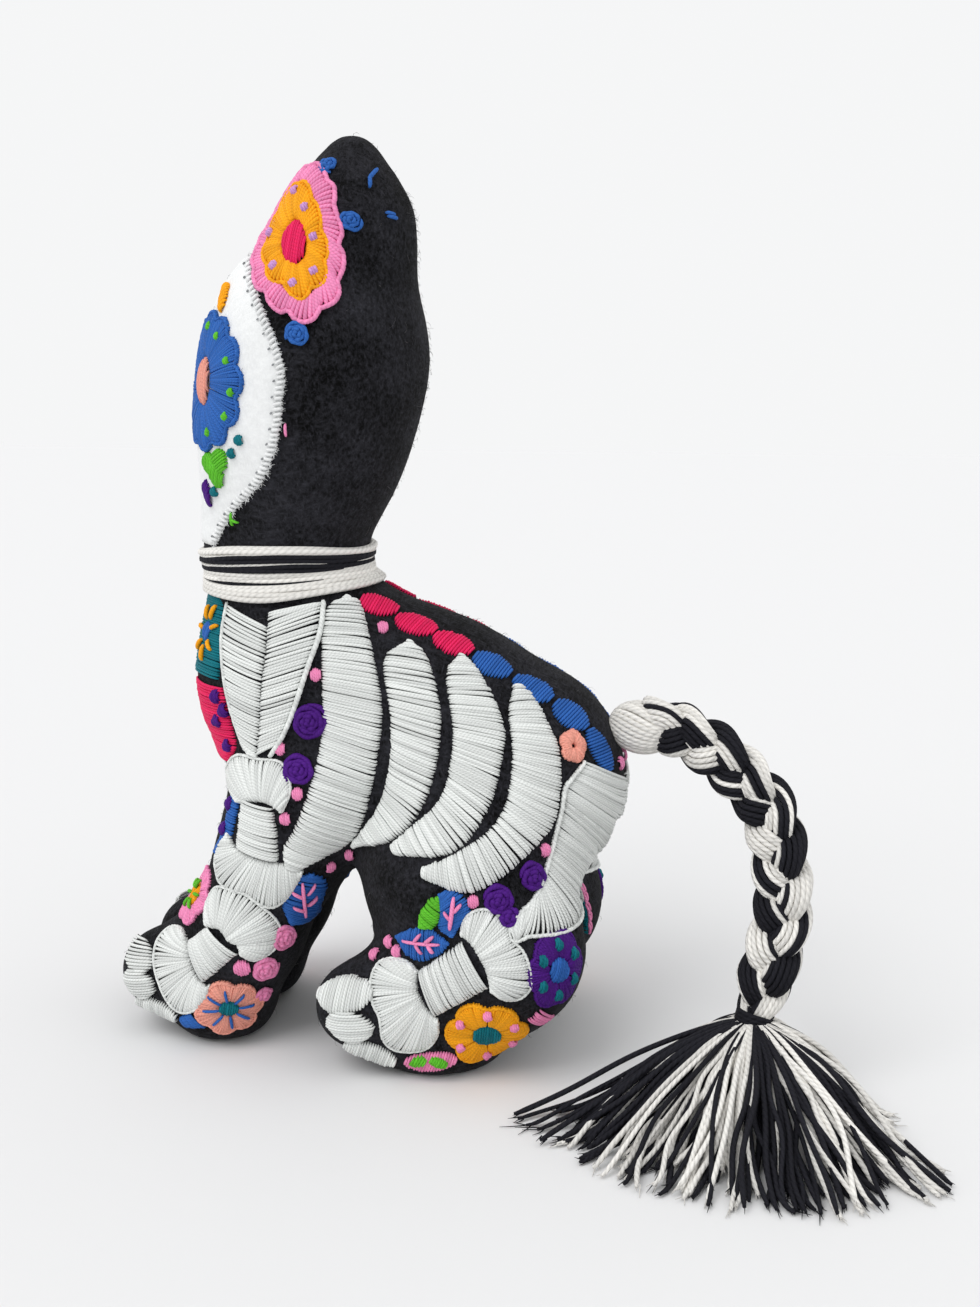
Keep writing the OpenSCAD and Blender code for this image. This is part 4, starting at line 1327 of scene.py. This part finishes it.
def head_flowers(radius):
    """Threads on the head's felt by colour: the blossom by the nose, small roses and single stitches."""
    nose, flat = hoop_at(animal_field, -11, 250), flank(animal_field)
    rim, gold = at(nose, HEAD_RIM), at(nose, HEAD_GOLD)
    found = {
        "pink": ring_of(nose, shrunk(gold, 0.96), scalloped(rim, 12, 0.11), 1.5, 1.0, 0.72),
        "gold": ring_of(nose, shrunk(gold, 0.36), scalloped(gold, 9, 0.15), 1.35, 1.5, 0.68),
        "magenta": [oval(nose, *gold.mean(0), 3.6, 7.2, 4, 88, 0.75, 2.4, radius)],
        "lilac": dots(nose, at(nose, HEAD_LILAC), 1.0, 1.2, 2.6, radius),
        "blue": [rose(nose, *spot_on(nose, x, z), size, 0.62) for x, z, size in HEAD_ROSES]
        + strokes(flat, BLUE_TICKS, 0.6),
        "green": strokes(flat, GREEN_TICKS, 0.5),
    }
    found["pink"] += strokes(flat, PINK_TICKS, 0.5)
    return found


def panel_flowers(radius):
    """Threads on the white panel by colour: the eye's flower about its own middle, and small leaves."""
    eye, low, top = (hoop_at(panel_field, x, z) for x, z in ((-36, 210), (-37, 184), (-32, 233)))
    rim = at(eye, EYE_RIM)
    middle = np.array([rim[:, 0].min() - 2.0, spot_on(eye, -37, 210)[1]])
    wide, high = rim[:, 0].max() - middle[0], (rim[0, 1] - rim[-1, 1]) / 2
    found = {
        "blue": bloom(eye, *middle, (3.4, 7.0), (wide, high), 12, 0.13, 0.85, 1.3, radius),
        "salmon": [oval(eye, *middle, 3.3, 7.0, 0, 90, 0.75, 1.9, radius)],
        "green": dots(eye, at(eye, GREEN_EYE_DOTS), 0.9, 1.1, 1.9, radius),
    }
    leaf = at(low, [(-41, 190.5), (-36.5, 190.5), (-33, 186), (-35, 180.5), (-40, 181)]).mean(0)
    found["green"] += [oval(low, *(leaf + way), 3.2, 3.6, turn, 60 + turn, 0.8, 1.3, radius)
                       for way, turn in (((-3.4, -0.5), 20), ((1.6, 0.8), -30), ((-0.5, -3.6), 10))]
    found["teal"] = dots(low, at(low, TEAL_FACE_DOTS), 1.3, 1.3, 1.3, radius)
    drop = spot_on(low, -39.5, 176) + (-3.5, 0)
    found["purple"] = [oval(low, *drop, 1.7, 4.0, 12, 85, 0.7, 1.3, radius)]
    bud = spot_on(top, -34, 234.5) + (-1.5, 0)
    found["gold"] = [oval(top, *bud, 1.9, 4.6, 14, 60, 0.8, 1.2, radius)]
    return found


def chest_flowers(radius):
    """Threads on the chest and down the front of the leg, grouped by colour."""
    high, mid, low, foot = body_hoops((-44, 130), (-41, 105), (-39, 76), (-48, 49))
    found = {colour: [] for colour in ("teal", "blue", "gold", "magenta", "purple", "pink", "green")}

    def patch(hoop, edge, way):
        """Level stitches from an edge to the same edge moved towards the middle."""
        edge = at(hoop, edge)
        return [between(hoop, edge + way, edge, 0.8, 1.2, radius)]

    found["teal"] += patch(high, TEAL_EDGE, (-19, 0.5))
    centre = at(high, TEAL_EDGE).mean(0) + (-7, 0)
    found["blue"] += [oval(high, *centre, 2.2, 3.2, 0, 80, 0.7, 2.0, radius)]
    found["gold"] += rays(high, centre, (3.0, 4.4), (5.8, 9.0), 7, 0.3, 0.75, 1.0, 1.0)
    found["magenta"] += patch(mid, MAGENTA_EDGE, (-19, 0))
    found["purple"] += dots(mid, at(mid, PURPLE_DOTS), 1.6, 2.0, 2.3, radius)
    found["blue"] += patch(low, BLUE_EDGE, (-5.2, 0))
    found["purple"] += dots(low, at(low, [(-35, 80), (-37, 72)]), 1.5, 2.2, 2.1, radius)
    spot = spot_on(foot, -49, 48)
    found["pink"] += bloom(foot, *spot, (3.2, 3.6), (8.6, 10.2), 6, 0.2, 0.85, 1.2, radius)
    found["gold"] += [oval(foot, *spot, 3.6, 4.0, 0, 80, 0.75, 1.6, radius)]
    found["green"] += rays(foot, spot, (2.0, 2.2), (4.6, 5.4), 6, 0.2, 0.6, 0.8, 1.4, turn=6.3)
    return found


def local_rose(x, z, size, radius):
    """A wound rose on the body, drawn square to the felt where it lies."""
    return rose(hoop_at(body_field, x, z), 0, 0, size, radius)


def leg_flowers(radius):
    """Threads on both legs and the haunch, grouped by the CAD node they stand for and by colour."""
    body = flank(body_field)
    paw, hip, side, rear, heel, under = body_hoops((-36, 15), (71, 102), (69, 38), (77, 43), (48.5, 17),
        (31, 8))

    def bar(low, high, pad):
        """Stitches between two short edges on the left side."""
        return between(body, low, high, 0.8, pad, radius)

    spot = spot_on(paw, -36.5, 14.5)
    salmon = {
        "salmon": bloom(paw, *spot, (2.4, 2.0), (11.0, 9.6), 7, 0.2, 0.85, 1.3, radius)
        + bloom(hip, 0, 0, (0.8, 0.8), (4.3, 5.0), 5, 0.16, 0.8, 1.6, radius),
        "teal": [oval(paw, *spot, 2.7, 2.3, 0, 80, 0.7, 2.2, radius)],
        "blue": rays(paw, spot, (2.8, 2.4), (7.5, 6.6), 8, 0.1, 0.5, 0.7, 1.5)
        + [bar(((-53.5, 9), (-49, 12)), ((-51.5, 6.2), (-44, 7.5)), 1.1)],
        "pink": [local_rose(*found) for found in PAW_ROSES] + dots(body, ((-31, 29),), 2.3, 2.4, 1.6, radius),
    }
    purple = {
        "purple": [local_rose(*found, 0.85) for found in PURPLE_ROSES],
        "pink": [dots(hoop_at(body_field, x, z), ((0, 0),), 1.5, 1.9)[0] for x, z in PINK_DOTS],
    }
    mid, zig = spot_on(side, 69.5, 38), np.array(ZIGZAG)
    patch = [zig[:, 1:] * (0.12 * way, 1) + (3.6 * way, 0) for way in (-1, 1)]
    haunch = {
        "purple": bloom(side, *mid, (3.0, 3.4), (10.2, 12.2), 6, 0.14, 0.85, 1.3, radius)
        + [local_rose(*found, 0.85) for found in HAUNCH_ROSES],
        "blue": [oval(side, *mid, 3.2, 3.8, 0, 70, 0.75, 1.7, radius)],
        "teal": [oval(side, *spot, 1.1, 1.8, 0, 80, 0.6, 2.3, radius, 7) for spot in around(mid, (6.4, 7.6),
        6, 0.5)]
        + [between(rear, *patch, 0.8, 1.0, radius)],
        "pink": strokes(rear, list(zip(zig[:-1], zig[1:])), 0.5, 0.5, 1.0),
    }
    spot, sole = spot_on(heel, 48.5, 17), spot_on(under, 31, 6.5)
    gold = {
        "gold": bloom(heel, *spot, (3.6, 4.0), (12.6, 13.2), 6, 0.17, 0.85, 1.4, radius),
        "teal": [oval(heel, *spot, 4.0, 4.8, 0, 85, 0.75, 1.9, radius)],
        "pink": dots(heel, around(spot, (9.0, 9.4), 6, 0.5), 1.1, 1.3, 2.6, radius)
        + [oval(under, *sole, 8.0, 3.4, 8, 70, 0.8, 1.1, radius)]
        + [bar(((61, 22), (64.5, 25.5)), ((64, 18.5), (68, 21)), 1.2)],
        "green": [oval(under, sole[0] + way, sole[1] + 0.5, 2.6, 1.6, turn, 60, 0.75, 2.2, radius)
                  for way, turn in ((-3.5, 25), (2.5, -20))],
    }
    leaves = {
        "blue": [between(body, *leaf, 0.82, 1.2, radius) for leaf in BLUE_LEAVES],
        "green": [between(body, *GREEN_LEAF, 0.82, 1.3, radius)],
        "pink": strokes(body, LEAF_VEINS, 0.6, 0.8, 1.2),
    }
    return {
        "salmon_flower": salmon, "purple_roses": purple, "haunch_flower": haunch, "gold_flower": gold,
        "leaf_sprigs": leaves,
    }


# ---- Sizes and colours that a user may change ----

SLOT_COLOURS = {m["slot"]: tuple(m["base_color"][:3]) for m in frame["record"]["materials"]}


def length_property(name, description, default, low, high):
    """A length in metres."""
    return bpy.props.FloatProperty(
        name=name, description=description, default=default, min=low, max=high, precision=5, unit="LENGTH"
    )


def colour_property(slot, what):
    """A colour whose default is the record's colour of a slot."""
    return bpy.props.FloatVectorProperty(
        name=slot.replace("_", " ").capitalize(), description=f"Colour of the {what}",
        default=SLOT_COLOURS[slot], size=3, min=0.0, max=1.0, subtype="COLOR",
    )


class FeltAnimalSizes(bpy.types.PropertyGroup):
    """Sizes of the threads and of the felt's nap."""

    thread_radius: length_property(
        "Thread radius", "Radius of one laid embroidery thread", 0.0005, 0.0003, 0.0007
    )
    stitch_pitch: length_property(
        "Stitch pitch", "Distance between the stitches of the bones", 0.00086, 0.0006, 0.0015
    )
    bone_height: length_property(
        "Bone height", "How far the padded bones stand off the felt", 0.0019, 0.001, 0.003
    )
    felt_voxel: length_property(
        "Felt mesh", "Size of the felt's mesh before it is smoothed", 0.0024, 0.002, 0.005
    )
    felt_swell: length_property(
        "Felt swell", "How far the stuffing may dent or swell the felt", 0.0007, 0.0, 0.002
    )
    nap_length: length_property(
        "Nap length", "Length of the short fibres on the felt", 0.0014, 0.001, 0.004
    )
    nap_count: bpy.props.IntProperty(
        name="Nap count", description="Number of short dark fibres on the felt",
        default=5200, min=0, max=20000,
    )
    lint_count: bpy.props.IntProperty(
        name="Lint count", description="Number of pale fibres caught in the felt",
        default=260, min=0, max=4000,
    )


class FeltAnimalColours(bpy.types.PropertyGroup):
    """Colours of the felt, threads and yarns."""

    black_felt: colour_property("black_felt", "animal's felt")
    white_felt: colour_property("white_felt", "face panel")
    white_thread: colour_property("white_thread", "bones")
    pink_thread: colour_property("pink_thread", "blossoms and dots")
    magenta_thread: colour_property("magenta_thread", "first ovals along the spine")
    gold_thread: colour_property("gold_thread", "golden flowers")
    blue_thread: colour_property("blue_thread", "eye flower, leaves and last ovals along the spine")
    salmon_thread: colour_property("salmon_thread", "flower on the front paw")
    purple_thread: colour_property("purple_thread", "wound roses and the haunch flower")
    teal_thread: colour_property("teal_thread", "flower centres")
    green_thread: colour_property("green_thread", "small leaves")
    white_yarn: colour_property("white_yarn", "white yarn of the collar and tail")
    black_yarn: colour_property("black_yarn", "black yarn of the collar and tail")


def finish_for(slot):
    """The material of a slot, made the first time that it is asked for."""
    made = bpy.data.materials.get(slot + "_finish")
    if made:
        return made
    colour = tuple(getattr(bpy.context.scene.felt_animal_colours, slot))
    if slot.endswith("yarn"):
        return thread_material(slot + "_finish", colour, 2.3, 0.8, 0.0003, 0.6)
    if slot == "black_felt":
        return felt_material(slot + "_finish", colour)
    if slot == "white_felt":
        return felt_material(slot + "_finish", colour, 0.88, 1.04, 0.00025)
    return thread_material(slot + "_finish", colour)


# Finishes whose colour no slot has. The needle holes' grey is painted shade: the shade that falls inside each
# hole at the face panel's edge
PLAIN_COLOURS = {"lilac": (0.62, 0.32, 0.66), "lint": (0.2, 0.19, 0.19), "needle_hole_shade": (0.3, 0.31, 0.32)}


def plain_finish(name):
    """A thread finish in a colour that no slot has."""
    return bpy.data.materials.get(name + "_finish") or thread_material(name + "_finish", PLAIN_COLOURS[name])


def stitch_group(node, colours):
    """One piece for each colour of a group on each flank. The first stands for the CAD node of its side."""
    for i, (colour, parts) in enumerate(colours.items()):
        lilac = colour == "lilac"
        slot = "pink_thread" if lilac else colour + "_thread"
        finish = plain_finish("lilac") if lilac else None
        both_sides(f"{node}_{colour}", parts, slot, [node] if i == 0 else [], finish)


def sizes():
    """The user's sizes in millimetres: thread radius, stitch pitch and bone height."""
    s = bpy.context.scene.felt_animal_sizes
    return s.thread_radius / MM, s.stitch_pitch / MM, s.bone_height / MM


# ---- Operators ----


class OBJECT_OT_felt_camera(bpy.types.Operator):
    """Add the camera"""

    bl_idname = "object.felt_camera"
    bl_label = "Camera"

    def execute(self, context):
        camera()
        return {"FINISHED"}


class OBJECT_OT_felt_tail(bpy.types.Operator):
    """Add the yarn loop, the plaited tail, its tie and the tassel"""

    bl_idname = "object.felt_tail"
    bl_label = "Plaited Tail"

    def execute(self, context):
        tail()
        return {"FINISHED"}


class OBJECT_OT_felt_skins(bpy.types.Operator):
    """Add the stuffed felt skins of the head and the body"""

    bl_idname = "object.felt_skins"
    bl_label = "Felt Skins"

    def execute(self, context):
        s = context.scene.felt_animal_sizes
        sided = ("body_felt", "front_leg_felt", "hind_leg_felt", "front_leg_stuffing", "hind_leg_stuffing")
        below = [f"{node}_{side}" for node in sided for side in ("left", "right")]
        below += ["belly_gusset", "torso_stuffing"]
        above = ["head_felt_left", "head_felt_right", "head_stuffing"]
        for name, nodes in (("head_skin", above), ("body_skin", below)):
            obj = skin(name, nodes is above, s.felt_voxel / MM, s.felt_swell / MM)
            dress(obj, "black_felt", "animal", nodes)
        return {"FINISHED"}


class OBJECT_OT_felt_nap(bpy.types.Operator):
    """Add the short fibres that stand out of the black felt, and pale lint caught in it"""

    bl_idname = "object.felt_nap"
    bl_label = "Nap and Lint"

    def execute(self, context):
        s = context.scene.felt_animal_sizes
        spots, normals = felt_spots(animal_field, s.nap_count * 2, (-78, -50, 4), (86, 50, 284))
        nap = hairs(spots, normals, s.nap_count, s.nap_length / MM, 0.05, (0.2, 0, -0.8))
        thread_piece("felt_nap", [nap], "black_felt", sides=3)
        lint = hairs(spots, normals, s.lint_count, 1.6 * s.nap_length / MM, 0.035, (0, 0, 0), 0.9)
        thread_piece("felt_lint", [lint], "white_felt", finish=plain_finish("lint"), sides=3)
        return {"FINISHED"}


class OBJECT_OT_felt_face(bpy.types.Operator):
    """Add the white felt face panel with its overcast edge"""

    bl_idname = "object.felt_face"
    bl_label = "Face Panel"

    def execute(self, context):
        obj, edge = face_panel()
        dress(obj, "white_felt", "animal", ["face_panel"])
        both_sides("face_overcast", [face_stitches(edge)], "white_felt")
        line = curve(FACE_EDGE, 300)
        seat, normal = flank(animal_field).drop(line + rng.uniform(-1.5, 0.3, line.shape))
        fuzz = hairs(seat + 0.6 * normal, normal, 2600, 1.0, 0.07, (0.3, 0, 0), 0.9)
        both_sides("face_edge_fuzz", [fuzz], "white_felt")
        # Painted shade of the needle holes: short thin grey stitches just inside the panel's edge
        pricks = [(p, p + (0.5, 0.4)) for p in line[8:-8:14] - (2.8, 0.3)]
        hole_shade_strokes = strokes(flank(panel_field), pricks, 0.3, 0.2, 0.0)
        both_sides("face_needle_hole_shade", hole_shade_strokes, "white_felt", finish=plain_finish("needle_hole_shade"))
        return {"FINISHED"}


class OBJECT_OT_felt_collar(bpy.types.Operator):
    """Add the collar of wound white and black yarn"""

    bl_idname = "object.felt_collar"
    bl_label = "Wound Collar"

    def execute(self, context):
        for white, parts in collar_yarns().items():
            colour = "white" if white else "black"
            thread_piece(f"collar_wound_{colour}", parts, f"{colour}_yarn", nodes=[f"collar_yarn_{colour}"])
        return {"FINISHED"}


class OBJECT_OT_felt_bones(bpy.types.Operator):
    """Add the skeleton in padded white satin stitch on both flanks"""

    bl_idname = "object.felt_bones"
    bl_label = "White Bones"

    def execute(self, context):
        radius, pitch, height = sizes()
        for node, parts in bones(pitch, height, radius).items():
            both_sides(node, parts, "white_thread", [node])
        return {"FINISHED"}


class OBJECT_OT_felt_spine(bpy.types.Operator):
    """Add the ovals along both sides of the spine"""

    bl_idname = "object.felt_spine"
    bl_label = "Spine Ovals"

    def execute(self, context):
        radius, _, _ = sizes()
        for early, colour in ((True, "magenta"), (False, "blue")):
            parts = []
            for x, z, a, b, turn, first in SPINE:
                if first == early:
                    hoop = hoop_at(body_field, x - 0.5, z - 1.6)
                    parts.append(oval(hoop, 0, 0, a, 0.92 * b, turn, 70 + turn, 0.92, 1.3, radius))
            parts += [(p * (1, -1, 1), n * (1, -1, 1), r) for p, n, r in parts]
            node = "spine_ovals_" + colour
            thread_piece(node + "_thread", parts, colour + "_thread", nodes=[node])
        return {"FINISHED"}


class OBJECT_OT_felt_head_flowers(bpy.types.Operator):
    """Add the blossom by the nose, the eye flowers and the small leaves of the face"""

    bl_idname = "object.felt_head_flowers"
    bl_label = "Head Flowers"

    def execute(self, context):
        radius, _, _ = sizes()
        head, panel = head_flowers(radius), panel_flowers(radius)
        stitch_group("head_flower", head)
        stitch_group("eye_flower", panel)
        return {"FINISHED"}


class OBJECT_OT_felt_body_flowers(bpy.types.Operator):
    """Add the flowers, roses, dots and leaves on the chest, legs and haunches"""

    bl_idname = "object.felt_body_flowers"
    bl_label = "Body Flowers"

    def execute(self, context):
        radius, _, _ = sizes()
        stitch_group("chest_flowers", chest_flowers(radius))
        for node, colours in leg_flowers(radius).items():
            stitch_group(node, colours)
        return {"FINISHED"}


class OBJECT_OT_felt_stage(bpy.types.Operator):
    """Add the pale floor, the soft lamp and the pale sky"""

    bl_idname = "object.felt_stage"
    bl_label = "Stage"

    def execute(self, context):
        stage()
        return {"FINISHED"}


OPERATORS = (
    OBJECT_OT_felt_camera, OBJECT_OT_felt_tail, OBJECT_OT_felt_skins, OBJECT_OT_felt_nap, OBJECT_OT_felt_face,
    OBJECT_OT_felt_collar, OBJECT_OT_felt_bones, OBJECT_OT_felt_spine, OBJECT_OT_felt_head_flowers,
    OBJECT_OT_felt_body_flowers, OBJECT_OT_felt_stage,
)


class VIEW3D_PT_felt_animal(bpy.types.Panel):
    """Lists the operators and the sizes and colours that they read"""

    bl_idname = "VIEW3D_PT_felt_animal"
    bl_label = "Felt Animal"
    bl_space_type = "VIEW_3D"
    bl_region_type = "UI"
    bl_category = "Felt Animal"

    def draw(self, context):
        for operator in OPERATORS:
            self.layout.operator(operator.bl_idname)
        for group in (context.scene.felt_animal_sizes, context.scene.felt_animal_colours):
            box = self.layout.box()
            for name in group.bl_rna.properties.keys():
                if name not in ("rna_type", "name"):
                    box.prop(group, name)


CLASSES = (FeltAnimalSizes, FeltAnimalColours, *OPERATORS, VIEW3D_PT_felt_animal)


def register():
    """Registers the classes and hangs the property groups on the scene."""
    for item in CLASSES:
        bpy.utils.register_class(item)
    bpy.types.Scene.felt_animal_sizes = bpy.props.PointerProperty(type=FeltAnimalSizes)
    bpy.types.Scene.felt_animal_colours = bpy.props.PointerProperty(type=FeltAnimalColours)


def unregister():
    """Takes back what register() did."""
    del bpy.types.Scene.felt_animal_colours
    del bpy.types.Scene.felt_animal_sizes
    for item in reversed(CLASSES):
        bpy.utils.unregister_class(item)


def main():
    """Builds the whole animal."""
    register()
    for operator in OPERATORS:
        group, name = operator.bl_idname.split(".")
        getattr(getattr(bpy.ops, group), name)()


if __name__ == "__main__":
    main()
